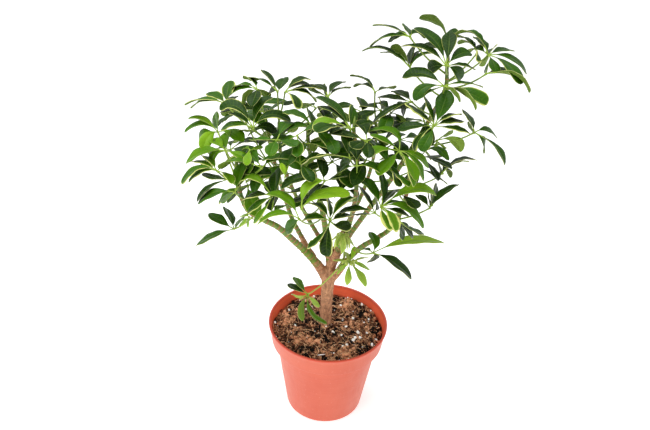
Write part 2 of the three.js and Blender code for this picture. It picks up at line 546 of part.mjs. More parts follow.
function soilSolid(trunkHole) {
  const edge = insideRadius(SOIL_TOP) - 2 * GAP;
  const outline = [[0, FLOOR + GAP], [insideRadius(FLOOR) - 3 * GAP, FLOOR + GAP]];
  outline.push([insideRadius(POT_HEIGHT - COLLAR_HEIGHT - 2) - 3 * GAP, POT_HEIGHT - COLLAR_HEIGHT - 2]);
  outline.push([insideRadius(POT_HEIGHT - COLLAR_HEIGHT + 5) - 2 * GAP, POT_HEIGHT - COLLAR_HEIGHT + 5]);
  for (let ring = SOIL_RINGS; ring >= 0; ring -= 1) {
    outline.push([(edge * ring) / SOIL_RINGS, SOIL_TOP]);
  }
  const profile = outline.map(([radius, height]) => new THREE.Vector2(radius, height));
  const body = new THREE.LatheGeometry(profile, POT_SIDES);
  body.rotateX(Math.PI / 2);
  const spots = body.attributes.position;
  for (let i = 0; i < spots.count; i += 1) {
    if (spots.getZ(i) > SOIL_TOP - 1) {
      spots.setZ(i, soilHeight(spots.getX(i), spots.getY(i)));
    }
  }
  const lumps = [solidOfGeometry(body)];
  const random = seeded(5);
  const lump = (x, y, size, squash) => {
    const stone = new THREE.OctahedronGeometry(size, 0);
    stone.rotateX(random() * 3);
    stone.rotateY(random() * 3);
    stone.scale(1, 1, squash);
    stone.translate(x, y, soilHeight(x, y) - 0.1 * size);
    lumps.push(solidOfGeometry(stone));
  };
  for (let i = 0; i < CRUMBS; i += 1) {
    const reach = (edge - 8) * Math.sqrt(0.08 + 0.92 * random());
    const turn = 2 * Math.PI * random();
    const size = CRUMB_SIZE[0] + (CRUMB_SIZE[1] - CRUMB_SIZE[0]) * random();
    lump(reach * Math.cos(turn), reach * Math.sin(turn), size, 0.6);
  }
  for (const pixel of GRAINS_SEEN) {
    const spot = seenAtHeight(pixel, SOIL_TOP + 1);
    const reach = Math.hypot(spot.x, spot.y);
    spot.multiplyScalar(Math.min(1, (edge - 5) / reach));
    const size = GRAIN_SIZE[0] + (GRAIN_SIZE[1] - GRAIN_SIZE[0]) * random();
    lump(spot.x, spot.y, size, 1);
  }
  return oneBody(wasm.Manifold.union(lumps).subtract(trunkHole));
}

// Trunk and stems
const trunkFoot = seenAtHeight([325.5, 323], SOIL_TOP);
const trunkCurve = new THREE.CatmullRomCurve3([
  vec(trunkFoot.x, trunkFoot.y, TRUNK_FOOT),
  trunkFoot,
  seenAtDepth([326.5, 300], 8),
  seenAtDepth([328, 282], 7),
  seenAtDepth([329, 274], 6),
  seenAtDepth([329.5, 267], 6),
]);

// The centre line of a shoot, from the fork to its top.
function routeCurve(shoot) {
  const places = shoot.route.map(([column, row, depth]) => seenAtDepth([column, row], depth));
  return new THREE.CatmullRomCurve3(places, false, 'centripetal');
}

function stemRadius(shoot) {
  const [thick, thin] = shoot.radii;
  const flare = (share) => ROOT_FLARE * Math.max(0, ROOT_SHARE - share) / ROOT_SHARE;
  return (share) => thick + (thin - thick) * share + flare(share);
}

function trunkSolid(grow) {
  const share = (k) => k / (TRUNK_RADII.length - 1);
  const stations = TRUNK_RADII.map((radius, k) => (
    { at: trunkCurve.getPoint(share(k)), heading: trunkCurve.getTangent(share(k)), radius: radius + grow }
  ));
  return taperedTube(stations, TRUNK_SIDES);
}

function limbSolid(shoot, curve) {
  return taperedTube(stationsOf(curve, 0, shoot.woody, 4, stemRadius(shoot)), STEM_SIDES);
}

function stemSolid(shoot, curve) {
  const start = shoot.woody + GAP / curve.getLength();
  return taperedTube(stationsOf(curve, start, 1, STEM_STATIONS, stemRadius(shoot)), STEM_SIDES);
}

// A leaflet's centre line: a quadratic curve that leaves the hub along "out" and arches to its tip.
function leafletPoint(leaflet, share) {
  const { hub, bend, tip } = leaflet;
  const rest = 1 - share;
  const point = hub.clone().multiplyScalar(rest * rest);
  return along(along(point, bend, 2 * rest * share), tip, share * share);
}

function leafletSection(leaflet, share, halfWidth, thick) {
  const { hub, bend, tip, normal, fold } = leaflet;
  const centre = share > NECK_AT ? leafletPoint(leaflet, share) : neckPoint(leaflet, share);
  const heading = along(bend.clone().sub(hub).multiplyScalar(1 - share), tip.clone().sub(bend), share);
  heading.normalize();
  const right = unit(cross(heading, normal));
  const top = cross(right, heading);
  const lifted = along(centre, top, fold * halfWidth);
  return [
    along(lifted, right, -halfWidth),
    along(centre, top, thick / 2),
    along(lifted, right, halfWidth),
    along(centre, top, -thick / 2),
  ];
}

// The stalk of a leaflet keeps to its own spoke of the leaf, so that no two stalks cross.
function neckPoint(leaflet, share) {
  const { hub, base, out } = leaflet;
  const arm = leafletPoint(leaflet, share).sub(hub);
  const rise = arm.dot(base);
  const level = Math.sqrt(Math.max(0, arm.lengthSq() - rise * rise));
  return along(along(hub, out, Math.max(level, arm.length() / 2)), base, rise);
}

function leafletSections(leaflet, spare) {
  const half = leaflet.width / 2 + spare;
  const thick = BLADE_THICK + 2 * spare;
  const neck = leafletSection(leaflet, NECK_AT, NECK_HALF + spare, thick);
  if (leaflet.tip.distanceTo(leaflet.hub) < LEAFLET_LONG) {
    return [neck, leafletSection(leaflet, WIDEST_AT, half, thick)];
  }
  const wideSection = ({ at, width }) => leafletSection(leaflet, at, width * half, thick);
  return [neck, wideSection(LONG_LOWER), wideSection(LONG_UPPER)];
}

// Faces between the sections of a leaflet; each diagonal runs from an edge to the midrib.
function bladeFaces(rings, tip) {
  const faces = [];
  for (let k = 0; k + 1 < rings.length; k += 1) {
    for (let j = 0; j < 4; j += 1) {
      const a = rings[k][j];
      const b = rings[k][(j + 1) % 4];
      const c = rings[k + 1][(j + 1) % 4];
      const d = rings[k + 1][j];
      if (j % 2 === 0) {
        faces.push([a, b, c], [a, c, d]);
      } else {
        faces.push([a, b, d], [b, c, d]);
      }
    }
  }
  const last = rings[rings.length - 1];
  for (let j = 0; j < 4; j += 1) {
    faces.push([last[j], last[(j + 1) % 4], tip]);
  }
  return faces;
}

// A leaflet by itself, a little fat, from its neck or with its stalk.
function bladeSolid(leaflet, spare, withStalk) {
  const sections = leafletSections(leaflet, spare);
  if (withStalk) {
    sections.unshift(leafletSection(leaflet, 0.02, NECK_HALF + spare, BLADE_THICK + 2 * spare));
  }
  const points = [...sections.flat(), leaflet.tip];
  const rings = sections.map((_, k) => [0, 1, 2, 3].map((j) => 4 * k + j));
  const faces = bladeFaces(rings, points.length - 1);
  faces.push([0, 3, 1], [1, 3, 2]);
  return solidOf(points, faces);
}

// One umbrella leaf: its leaflets meet in a small boss at the hub.
function leafSolid(leaf) {
  const { hub, normal, leaflets } = leaf;
  const count = leaflets.length;
  const points = [along(hub, normal, HUB_HALF), along(hub, normal, -HUB_HALF)];
  const forward = unit(cross(normal, leaf.aside));
  const spoke = (turn) => along(
    along(hub, leaf.aside, HUB_RADIUS * Math.cos(turn)), forward, HUB_RADIUS * Math.sin(turn));
  for (let i = 0; i < count; i += 1) {
    const here = leaflets[i].turn;
    const before = leaflets[(i + count - 1) % count].turn - (i === 0 ? 2 * Math.PI : 0);
    points.push(spoke((here + before) / 2));
  }
  const faces = [];
  leaflets.forEach((leaflet, i) => {
    const rings = [[2 + ((i + 1) % count), 0, 2 + i, 1]];
    for (const section of leafletSections(leaflet, 0)) {
      rings.push([0, 1, 2, 3].map((j) => points.length + j));
      points.push(...section);
    }
    points.push(leaflet.tip);
    faces.push(...bladeFaces(rings, points.length - 1));
  });
  return solidOf(points, faces);
}

// The tip of a seen leaflet: on its sight line, near the leaf's drooping plane, and no further
// behind or before the hub than the slant that a leaflet of that seen length may have.
function seenTip([column, row], hub, normal, drop, size) {
  const aim = sightLine([column, row]);
  const plane = along(hub, normal, -drop);
  const reach = plane.sub(VIEW_EYE).dot(normal) / aim.dot(normal);
  const toHub = hub.clone().sub(VIEW_EYE);
  const nearest = toHub.dot(aim);
  const seen = Math.sqrt(toHub.lengthSq() - nearest * nearest);
  const span = (length) => Math.sqrt(Math.max(0, length * length - seen * seen));
  const least = span(LEAFLET_SHORTEST * size);
  const most = span(LEAFLET_SLANT * Math.max(seen, LEAFLET_SHORTEST * size));
  const side = reach < nearest ? -1 : 1;
  return along(VIEW_EYE, aim, nearest + side * Math.min(Math.max(Math.abs(reach - nearest), least), most));
}

// The hub, normal and leaflets of one leaf, before any leaflet is bent clear.
function leafPlan(shoot, row, seed, shift) {
  const random = seeded(seed);
  const crown = CROWNS[shoot.crown];
  const size = row.size || 1;
  const hub = row.at === undefined
    ? seenOnCrown(row.hub, crown, row.push + shift)
    : seenAtDepth(row.hub, row.at + shift);
  const outward = hub.clone().sub(vec(...crown.centre)).divide(vec(...crown.radii));
  outward.normalize();
  const normal = along(UP, outward, LEAF_LEAN);
  normal.add(vec(0.3 * (random() - 0.5), 0.3 * (random() - 0.5), 0));
  normal.normalize();
  const aside = unit(cross(normal, vec(0.1, 1, 0.05)));
  const forward = unit(cross(normal, aside));
  const turnOf = (v) => Math.atan2(v.dot(forward), v.dot(aside));
  const spokeOf = (turn) => {
    const spoke = aside.clone().multiplyScalar(Math.cos(turn));
    return spoke.addScaledVector(forward, Math.sin(turn));
  };
  const leaflets = row.tips.map((seen) => {
    const drop = LEAFLET_DROP[0] + LEAFLET_DROP[1] * random();
    const tip = seenTip(seen, hub, normal, drop, size);
    let start = tip.clone().sub(hub);
    if (seen.length > 2) {
      const halfway = along(hub, start, LEAFLET_MIDDLE.along);
      halfway.addScaledVector(normal, LEAFLET_MIDDLE.lift * start.length());
      start = bendThrough(seenNear(seen.slice(2, 4), halfway), hub, tip).sub(hub);
    }
    return { tip, seen, turn: turnOf(start) };
  });
  for (let i = 0; i < row.more; i += 1) {
    const turns = leaflets.map((leaflet) => leaflet.turn).sort((a, b) => a - b);
    let widest = 0;
    let middle = random() * 6;
    turns.forEach((turn, k) => {
      const next = k + 1 < turns.length ? turns[k + 1] : turns[0] + 2 * Math.PI;
      const between = (next + turn) / 2;
      const backward = aside.y * Math.cos(between) + forward.y * Math.sin(between);
      const room = (next - turn) * (row.tips.length > 0 && backward < 0 ? 0.3 : 1);
      if (room > widest) {
        widest = room;
        middle = between;
      }
    });
    const turn = middle > Math.PI ? middle - 2 * Math.PI : middle;
    const length = size * (LEAFLET_USUAL[0] + (LEAFLET_USUAL[1] - LEAFLET_USUAL[0]) * random());
    const tip = along(along(hub, spokeOf(turn), 0.93 * length), normal, -0.3 * length * random());
    leaflets.push({ tip, seen: [], turn });
  }
  leaflets.sort((a, b) => a.turn - b.turn);
  spreadTurns(leaflets);
  for (const leaflet of leaflets) {
    leaflet.hub = hub;
    leaflet.out = spokeOf(leaflet.turn);
    leaflet.arch = LEAFLET_ARCH[0] + (LEAFLET_ARCH[1] - LEAFLET_ARCH[0]) * random();
    leaflet.fold = LEAFLET_FOLD[0] + LEAFLET_FOLD[1] * random();
    leaflet.normal = unit(along(normal, vec(random() - 0.5, random() - 0.5, 0), 0.4));
    leaflet.home = leaflet.tip;
    leaflet.base = normal;
  }
  return { hub, normal, aside, leaflets, size };
}

// Leaflets leave the hub at least a set angle apart.
function spreadTurns(leaflets) {
  const count = leaflets.length;
  const spacing = Math.min(HUB_SPACING, (1.9 * Math.PI) / count);
  for (let pass = 0; pass < 40; pass += 1) {
    for (let i = 0; i < count; i += 1) {
      const here = leaflets[i];
      const next = leaflets[(i + 1) % count];
      const wrap = i + 1 === count ? 2 * Math.PI : 0;
      const short = spacing - (next.turn + wrap - here.turn);
      if (short > 0) {
        here.turn -= short / 2;
        next.turn += short / 2;
      }
    }
  }
}

// Where a leaflet's centre line bends when its middle lies at a place.
function bendThrough(middle, hub, tip) {
  return along(along(middle.clone().multiplyScalar(2), hub, -0.5), tip, -0.5);
}

// A bent leaflet: its tip moved along the line of sight, and its arch with it.
function bendLeaflet(leaflet, amount) {
  const aim = unit(leaflet.home.clone().sub(VIEW_EYE));
  const arm = along(leaflet.home, aim, amount).sub(leaflet.hub);
  const length = Math.min(arm.length(), LEAFLET_REACH * leaflet.home.distanceTo(leaflet.hub));
  leaflet.tip = along(leaflet.hub, unit(arm), length);
  leaflet.bend = along(leaflet.hub, leaflet.out, 0.3 * length);
  leaflet.bend.addScaledVector(unit(arm), 0.3 * length);
  leaflet.bend.addScaledVector(leaflet.base, (leaflet.arch - 0.004 * amount) * length);
  leaflet.width = Math.min(LEAFLET_ASPECT * length, LEAFLET_WIDEST);
  if (leaflet.seen.length > 2) {
    followView(leaflet, unit(arm));
  }
}

// A seen leaflet runs through its seen middle, and is rolled until it shows its seen width
// and the side that faces the viewer.
function followView(leaflet, heading) {
  const [middleColumn, middleRow, seenWidth] = leaflet.seen.slice(2);
  const middle = seenNear([middleColumn, middleRow], leafletPoint(leaflet, 0.5));
  leaflet.bend = bendThrough(middle, leaflet.hub, leaflet.tip);
  const sight = middle.clone().sub(VIEW_EYE);
  const width = (Math.abs(seenWidth) * sight.length()) / VIEW_FOCAL;
  leaflet.width = Math.min(Math.max(leaflet.width, width), LEAFLET_WIDEST);
  const share = Math.min(1, width / leaflet.width);
  const level = unit(cross(sight, heading));
  const lean = Math.sqrt(1 - share * share) * Math.sign(level.dot(leaflet.base));
  const facing = -Math.sign(seenWidth) * share;
  leaflet.normal = along(level.clone().multiplyScalar(lean), cross(heading, level), facing);
}

// Solids already in place, each with its shoot, its leaf and its box.
const placed = [];

function place(solid, shoot, leaf, neighbours = solid) {
  placed.push({ solid, shoot, leaf, neighbours, box: solid.boundingBox() });
}

// Whether a solid crosses a part of a placed one.
function meets(solid, item, part) {
  const box = solid.boundingBox();
  const apart = [0, 1, 2].some((k) => box.min[k] > item.box.max[k] || box.max[k] < item.box.min[k]);
  return !apart && !solid.intersect(item[part]).isEmpty();
}

function isClear(solid, shoot) {
  return !placed.some((item) => item.shoot !== shoot && meets(solid, item, 'solid'));
}

function isClearOfLeaf(blade, shoot, leaf) {
  const own = placed.filter((item) => item.shoot === shoot && item.leaf === leaf);
  return !own.some((item) => meets(blade, item, 'neighbours'));
}

// Amounts to try in turn: nothing, then steps to either side.
function bendAmounts(step) {
  return Array.from({ length: BENDS }, (_, k) => step * Math.ceil(k / 2) * (k % 2 ? 1 : -1));
}

// The petiole leaves its stem below the hub and meets the hub from beneath.
function petioleSolid(leaf, sway, spare) {
  const arm = leaf.hub.clone().sub(leaf.foot);
  const aside = unit(cross(arm, leaf.normal));
  const elbow = along(leaf.foot, arm, 0.6);
  elbow.addScaledVector(leaf.normal, -PETIOLE_SAG * arm.length());
  elbow.addScaledVector(aside, sway);
  const curve = new THREE.QuadraticBezierCurve3(leaf.foot, elbow, leaf.hub);
  const radius = PETIOLE_RADIUS * (0.5 + 0.5 * leaf.size) + spare;
  return taperedTube(stationsOf(curve, 0, 1, 3, () => radius), 3);
}

function petioleFoot(shoot, curve, hub) {
  let best = null;
  for (let share = shoot.woody + 0.04; share <= 1; share += 0.02) {
    const foot = curve.getPoint(share);
    const level = Math.hypot(foot.x - hub.x, foot.y - hub.y);
    const above = Math.max(0, foot.z - (hub.z - 10 - 0.5 * level));
    const cost = foot.distanceTo(hub) + 1.6 * above;
    if (best === null || cost < best.cost) {
      best = { foot, cost };
    }
  }
  return best.foot;
}

// Build
const curves = SHOOTS.map(routeCurve);
const trunk = wasm.Manifold.union([
  trunkSolid(0),
  ...SHOOTS.map((shoot, i) => limbSolid(shoot, curves[i])),
]);
place(trunk, -1, -1);

const stems = SHOOTS.map((shoot, i) => stemSolid(shoot, curves[i]));
stems.forEach((stem, i) => place(stem, i, -1));

// Each hub moves along its line of sight until its boss is clear of the other shoots.
function placeHub(shoot, row, i, k) {
  for (const amount of bendAmounts(2 * BEND_STEP)) {
    const leaf = leafPlan(shoot, row, 100 * (i + 1) + k, amount);
    const boss = new THREE.IcosahedronGeometry(2 * HUB_RADIUS, 0);
    boss.translate(leaf.hub.x, leaf.hub.y, leaf.hub.z);
    const solid = solidOfGeometry(boss);
    if (isClear(solid, i)) {
      place(solid, i, -1);
      leaf.foot = petioleFoot(shoot, curves[i], leaf.hub);
      return leaf;
    }
  }
  throw new Error(`no clear place for leaf ${k} of ${shoot.name}`);
}

function placePetiole(leaf, i, k) {
  const sway = bendAmounts(2 * BEND_STEP).find((amount) => isClear(petioleSolid(leaf, amount, GAP), i));
  if (sway === undefined) {
    throw new Error(`no clear way for petiole ${k} of ${SHOOTS[i].name}`);
  }
  const solid = petioleSolid(leaf, sway, 0);
  place(solid, i, -1);
  return solid;
}

// A leaflet with no clear bend is left out of its leaf.
function placeLeaflet(leaflet, i, k) {
  return bendAmounts(BEND_STEP).some((amount) => {
    bendLeaflet(leaflet, amount);
    const whole = bladeSolid(leaflet, GAP, true);
    const blade = bladeSolid(leaflet, GAP, false);
    if (!isClear(whole, i) || !isClearOfLeaf(blade, i, k)) {
      return false;
    }
    place(whole, i, k, blade);
    return true;
  });
}

const plans = SHOOTS.map((shoot, i) => shoot.leaves.map((row, k) => placeHub(shoot, row, i, k)));
const petioles = plans.map((own, i) => own.map((leaf, k) => placePetiole(leaf, i, k)));
const leaves = plans.map((own, i) => own.map((leaf, k) => {
  leaf.leaflets = leaf.leaflets.filter((leaflet) => placeLeaflet(leaflet, i, k));
  return leafSolid(leaf);
}));

const potMaterial = new THREE.MeshStandardMaterial({ color: 0xe4744f, roughness: 0.5, metalness: 0 });
const soilMaterial = new THREE.MeshStandardMaterial({ color: 0x4a3428, roughness: 0.95, metalness: 0 });
const barkMaterial = new THREE.MeshStandardMaterial({ color: 0x8c6b50, roughness: 0.9, metalness: 0 });
const leafMaterial = new THREE.MeshStandardMaterial({ color: 0x47722c, roughness: 0.45, metalness: 0 });
const youngMaterial = new THREE.MeshStandardMaterial({ color: 0x9bbb52, roughness: 0.45, metalness: 0 });

const plant = new THREE.Group();
plant.add(meshOf('pot', potSolid(), potMaterial));
plant.add(meshOf('soil', soilSolid(trunkSolid(GAP)), soilMaterial));
plant.add(meshOf('trunk', trunk, barkMaterial));
SHOOTS.forEach((shoot, i) => {
  const solid = oneBody(wasm.Manifold.union([stems[i], ...petioles[i], ...leaves[i]]));
  plant.add(meshOf(shoot.name, solid, shoot.name === 'shoot_young' ? youngMaterial : leafMaterial));
});

export default plant;
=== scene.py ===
"""The looks of a potted schefflera: moulded pot, fibrous mix, bark, stems and glossy umbrella leaves."""

import math
from itertools import combinations

import bpy
import numpy as np
from mathutils import Matrix, Vector, noise
from mathutils.kdtree import KDTree


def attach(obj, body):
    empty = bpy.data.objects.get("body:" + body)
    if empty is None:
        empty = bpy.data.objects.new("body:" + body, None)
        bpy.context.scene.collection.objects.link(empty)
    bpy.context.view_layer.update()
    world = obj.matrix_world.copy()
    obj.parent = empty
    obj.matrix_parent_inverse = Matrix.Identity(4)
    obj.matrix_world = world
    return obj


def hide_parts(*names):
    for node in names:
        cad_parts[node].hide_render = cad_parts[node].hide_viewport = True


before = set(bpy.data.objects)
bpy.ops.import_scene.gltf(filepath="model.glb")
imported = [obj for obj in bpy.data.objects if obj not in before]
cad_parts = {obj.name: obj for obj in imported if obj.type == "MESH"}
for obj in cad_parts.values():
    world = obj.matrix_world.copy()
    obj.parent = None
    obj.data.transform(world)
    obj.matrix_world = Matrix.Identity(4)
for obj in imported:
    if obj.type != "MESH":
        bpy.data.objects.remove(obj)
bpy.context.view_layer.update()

# Sizes of the solids, in millimetres.
POT_HEIGHT = 150
RIM_RADIUS = 86.5
COLLAR_HEIGHT = 31
COLLAR_FOOT_RADIUS = 82
BODY_TOP_RADIUS = 77
BASE_RADIUS = 57.5
WALL = 1.8
FLOOR = 2.4
LIP = 1.4
DRAIN_RING = 38
DRAIN_RADIUS = 5
DRAINS = 5
SOIL_TOP = 135
SOIL_BUMP = 1.7
TRUNK_FOOT = SOIL_TOP - 42
TRUNK_RADII = [9.6, 8.8, 8.5, 9.1, 9, 7]
ROOT_FLARE = 1.8
ROOT_SHARE = 0.2
LEAFLET_SHORTEST = 38
LEAFLET_SLANT = 1.16
LEAFLET_USUAL = [44, 60]
LEAFLET_ASPECT = 0.36
LEAFLET_WIDEST = 20
LEAFLET_ARCH = [0.14, 0.3]
LEAFLET_DROP = [4, 16]
LEAFLET_REACH = 1.3
LEAFLET_MIDDLE = [0.55, 0.11]
LEAFLET_FOLD = [0.1, 0.25]
LEAF_LEAN = 0.42
HUB_HALF = 1.4
HUB_SPACING = math.radians(24)
PETIOLE_SAG = 0.16
BEND_STEP = 3.5
BENDS = 24

# The view of the camera, in pixels and millimetres.
PICTURE = (650, 430)
VIEW_FOCAL = 780
VIEW_DISTANCE = 1042
VIEW_ELEVATION = math.radians(32.8)
VIEW_ROLL = math.radians(3)
VIEW_TARGET = np.array([-12.6, 0.0, 333.2])

CROWNS = {
    "low": {"centre": np.array([-15.0, -5, 385]), "radii": np.array([160.0, 98, 95])},
    "top": {"centre": np.array([155.0, 30, 480]), "radii": np.array([70.0, 60, 70])},
}

# First seeds of what is drawn at random.
LEAF_SEED = 100
RING_SEED = 300
TINT_SEED = 900
MIX_SEED = 77

# White grains seen on the mix: column, row and size.
GRAINS = [
    (314, 296, 1.9), (348, 297, 1.5), (362, 305, 1.7), (341, 304, 1.5), (280, 309, 1.3), (289, 309, 1.4),
    (295, 325, 1.6), (353, 318, 1.9), (346, 327, 1.7), (358, 331, 2.0), (367, 332, 1.7), (355, 337, 2.0),
    (360, 337, 1.6), (353, 340, 2.2), (342, 335, 2.0), (333, 332, 1.8), (372, 345, 1.8), (374, 309, 1.3),
    (343, 345, 1.5), (347, 344, 1.6), (337, 343, 1.4), (343, 319, 1.4), (326, 327, 1.2), (282, 331, 1.2),
    (305, 299, 1.1), (272, 322, 1.3), (334, 351, 1.2), (347, 293, 1.2), (357, 292, 1.0), (369, 318, 1.2),
    (364, 322, 1.1), (312, 306, 1.0), (306, 309, 1.4), (362, 347, 1.2), (376, 340, 1.4),
]

SHOOTS = []


def grow(name, crown, radii, woody, tone, route):
    """A shoot, as in the solids, with a route of pixels and depths from the fork, and its usual tone: the
    leaves' own green with painted shade for shoots at the back and middle of the crown and painted light
    for the lit low front.
    """
    SHOOTS.append({
        "name": name, "crown": crown, "radii": radii, "woody": woody, "tone": tone, "route": route,
        "leaves": [],
    })


def leaf(column, row, push, *tips, **own):
    """A leaf of the last shoot: the pixel of its hub, its push into the crown, and its seen leaflets.

    A leaflet has the pixels of its tip and middle and its width there, which is negative from beneath.
    """
    # The tone of a leaf and the tones of single leaflets are the leaves' own green, together with painted
    # shade for leaflets in the shade of the crown and painted light for lit ones.
    usual = {"at": None, "more": 0, "size": 1, "tone": None, "tones": {}, "creams": {}, "bud": None}
    SHOOTS[-1]["leaves"].append({**usual, "hub": (column, row), "push": push, "tips": tips, **own})


grow("shoot_left_low", "low", (6.0, 2.2), 0.29, 0.66, [
    (327, 279, 6), (319, 266, 2), (311, 257, -4), (302, 248, -12), (292, 239, -20), (278, 227, -28),
    (262, 219, -36), (248, 210, -42), (240, 192, -44), (237, 172, -40), (236, 155, -34),
])
leaf(218, 132, 0, (188, 119, 204, 120.5, 4.8), (184.5, 132.5, 203, 124, 4.8),
    (214.5, 113.5, 216.5, 122.5, 6.5), (243.5, 141.5, 232, 132, 9), (199.5, 142, 203.5, 133.5, 8),
    (202.5, 149.5, 209, 136, 10.5), tone=0.74)
leaf(226, 151, 5, (186, 163.5, 204.5, 151.5, 7.5), (212.5, 166.5, 214, 154.5, 9), (248, 161, 237, 154, 7),
    (226, 132, 226.5, 141, 8), (210.5, 140, 217.5, 143.5, 8), tones={2: 0.7})
leaf(217, 171, 0, (181.5, 184, 197.5, 168, 4.8), (188.5, 182.5, 203, 171.5, 4.5),
    (231.5, 184, 226.5, 175, 6), (193, 161.5, 205, 164, 4.5), (201.5, 155.5, 210, 161.5, 6), more=1)
leaf(235, 192, -5, (198, 203.5, 214, 192.5, 8.5), (221, 200.3, 229.5, 196.5, 4.5),
    (242.5, 162.5, 239, 177, 9.5), (252, 161.5, 243.5, 178, 8))
leaf(230, 179, 8, (197, 202, 210.5, 187, 4), (203, 173, 217, 178, 5), more=1, tone=0.28)
leaf(234, 229, 0, (210, 213, 220.5, 221, 9), (226, 208, 230.5, 218, 7.2), (196.5, 245, 214.5, 235, 6.8),
    (244, 216, 239, 223, 3.5), tones={0: 0.4, 1: 0.4, 2: 0.42})
leaf(249, 217, 0, (239.5, 225, 245, 221, 3.5), (241, 216, 245.5, 215.5, 3.5), (247, 226, 248.5, 221.5, 2.5),
    size=0.6, tone=0.95)
leaf(262, 168, 0, (222, 169, 236, 160.5, 4), (282, 158), (246, 152), (251, 174.5, 257, 172, 3.5))
leaf(250, 150, 0, (262, 146, 256, 148.5, 3.5), (243.5, 150.5, 246.5, 147.5, 2), (252, 158, 251, 154, 2.5),
    more=1, size=0.5, tone=0.75)
leaf(272, 196, 0, (244, 199.3, 257, 194.5, 6.5), (247.5, 212.5, 260.5, 203, 6), (253.5, 222, 263, 212, 4.5),
    (240, 184, 255, 178.5, 6), tones={0: 0.22, 1: 0.4, 3: 0.75})
leaf(271.5, 213, 0, (273, 197.5, 272, 206, 10), (275, 171.5, 275.5, 184, 10), (287, 205.5, 279.5, 207.5, 5),
    tones={0: 0.35, 1: 0.3})
leaf(248, 186, 60, more=4)
grow("shoot_left_high", "low", (4.0, 2.1), 0.24, 0.5, [
    (313, 258, -2), (306, 246, 4), (300, 234, 8), (293, 221, 10), (288, 207, 14), (281, 184, 14),
    (274, 160, 14), (269, 138, 16), (266, 118, 20),
])
leaf(226, 104, 0, (185, 105.5, 205, 98.8, 3.5), (192, 108, 206, 100, 4), (206.5, 93.5, 217.5, 97, 7.5),
    (230.5, 80.5, 227.5, 92, 10.5), (234.5, 96.5, 231, 99.5, 5), creams={3: 0.3})
leaf(257, 89, 0, (232, 90.5, 243.5, 84, 2.5), (228.5, 96.8, 242, 88.5, 3.2), (244, 79.2, 252.5, 81, 1.8),
    (242.5, 104.5, 248.5, 94.5, -5.5), (251.5, 106.5, 255.5, 95, 11), (267, 98, 262.5, 91.5, -5.5),
    tones={4: 0.2})
leaf(253, 128, -5, (272.5, 97.5, 259, 107.5, 7.5), (229.5, 113.5, 241, 118, 5), (221, 129.5, 236, 123.8, 5),
    (277, 131.5, 265, 126.5, 9), (291, 121, 270, 115, 8), (241.8, 129.8, 248, 131.5, -4),
    (219.5, 109.5, 237.5, 107.5, 9), tones={0: 0.35, 3: 0.25, 4: 0.2, 6: 0.3})
leaf(285, 177, -8, (281, 163, 283.5, 170, 5), (288, 163, 286.5, 170, 4), size=0.5, tone=0.9)
leaf(242, 114, 60, more=3)
leaf(266, 114, 0, (220, 112.5, 243, 106.5, 8.5), (283, 100.3, 274.5, 106.5, 3.5), more=1, tones={0: 0.25})
leaf(277, 140, 0, (251.5, 140.5, 262, 139.5, 4), (290, 122), (297, 146), (270, 156))
leaf(270, 160, 44, more=4)
grow("shoot_back_left", "low", (3.6, 2.0), 0.17, 0.36, [
    (329, 256, 6), (322, 242, 24), (309, 220, 44), (295, 194, 56), (284, 166, 62), (279, 140, 60),
    (279, 118, 54),
])
leaf(277.5, 91.5, 0, (262, 70, 270.5, 79.5, 4.3), (283.5, 78, 281.5, 85.5, 9.5), (250.5, 81, 262, 80, 3),
    (268.5, 94, 272.5, 90.5, 6), tones={1: 0.35})
leaf(285, 92, 0, (310, 85, 296, 84, 4.8), (310, 79.5, 297.5, 80, 5), (297, 109, 294, 97.5, 7.2),
    (315.5, 102, 303.5, 91.5, 4), (322, 89, 305, 87, 2.5), tone=0.25, tones={1: 0.15})
leaf(250, 110, 80, more=5)
leaf(230, 150, 110, more=6)
leaf(285, 130, 110, more=6)
leaf(262, 182, 110, more=5)
leaf(256, 152, 100, more=3)
leaf(316, 108, 50, more=3)
grow("shoot_middle", "low", (5.6, 2.1), 0.29, 0.4, [
    (328, 279, 6), (330, 265, 6), (328, 250, 6), (326, 234, 4), (323, 215, 0), (318, 190, -6),
    (312, 163, -14), (308, 140, -16), (308, 120, -12),
])
leaf(299, 219, -34, (265.5, 194.5, 286, 199, 10), (257, 225, 277, 213, 6), (286, 231, 294, 224, 9),
    tones={0: 0.82, 1: 0.76, 2: 0.58})
leaf(301.5, 209, -36, (321.5, 180, 306.5, 188.5, 10), (350, 193, 320, 195, 9), tones={0: 0.84, 1: 0.85})
leaf(310, 193, 25, (289, 193, 300, 190, 6), (291.5, 202, 302, 199, 5.5), tones={0: 0.2, 1: 0.2})
leaf(297, 135.5, 0, (298, 157, 298.5, 147, 9.5), (282, 142, 289, 139, 6), more=1)
leaf(326, 138, 0, (310, 124), (343, 130), (314, 152), (336, 154), more=1)
leaf(300, 163, 0, (262.5, 160.5, 281, 157.5, 5), (325, 160), (312, 182), more=2)
leaf(313, 128, 0, (282.5, 132.5, 297.5, 125.5, 5.5), (308, 109, 311, 119, 6.5), (282.5, 112, 300, 115, 5),
    more=1, tones={0: 0.3})
leaf(324.5, 181, -6, (323, 157.5, 322.5, 170, 9), (281.5, 188, 301, 178, 8.5), (308, 195.5, 318, 188.5, 7),
    (345, 176.5, 336, 178, 2.5), tones={0: 0.15, 1: 0.18, 2: 0.15})
leaf(332, 162, 60, more=5)
leaf(304, 144, 26, more=4)
leaf(316, 204, 60, (298, 196), (330, 187), (331, 203), (290, 205))
grow("shoot_centre", "low", (4.0, 2.1), 0.16, 0.32, [
    (330, 265, 5), (336, 254, -3), (343, 240, -14), (350, 222, -26), (355, 200, -34), (357, 176, -36),
    (357, 152, -30), (354, 132, -20), (355, 116, -8),
])
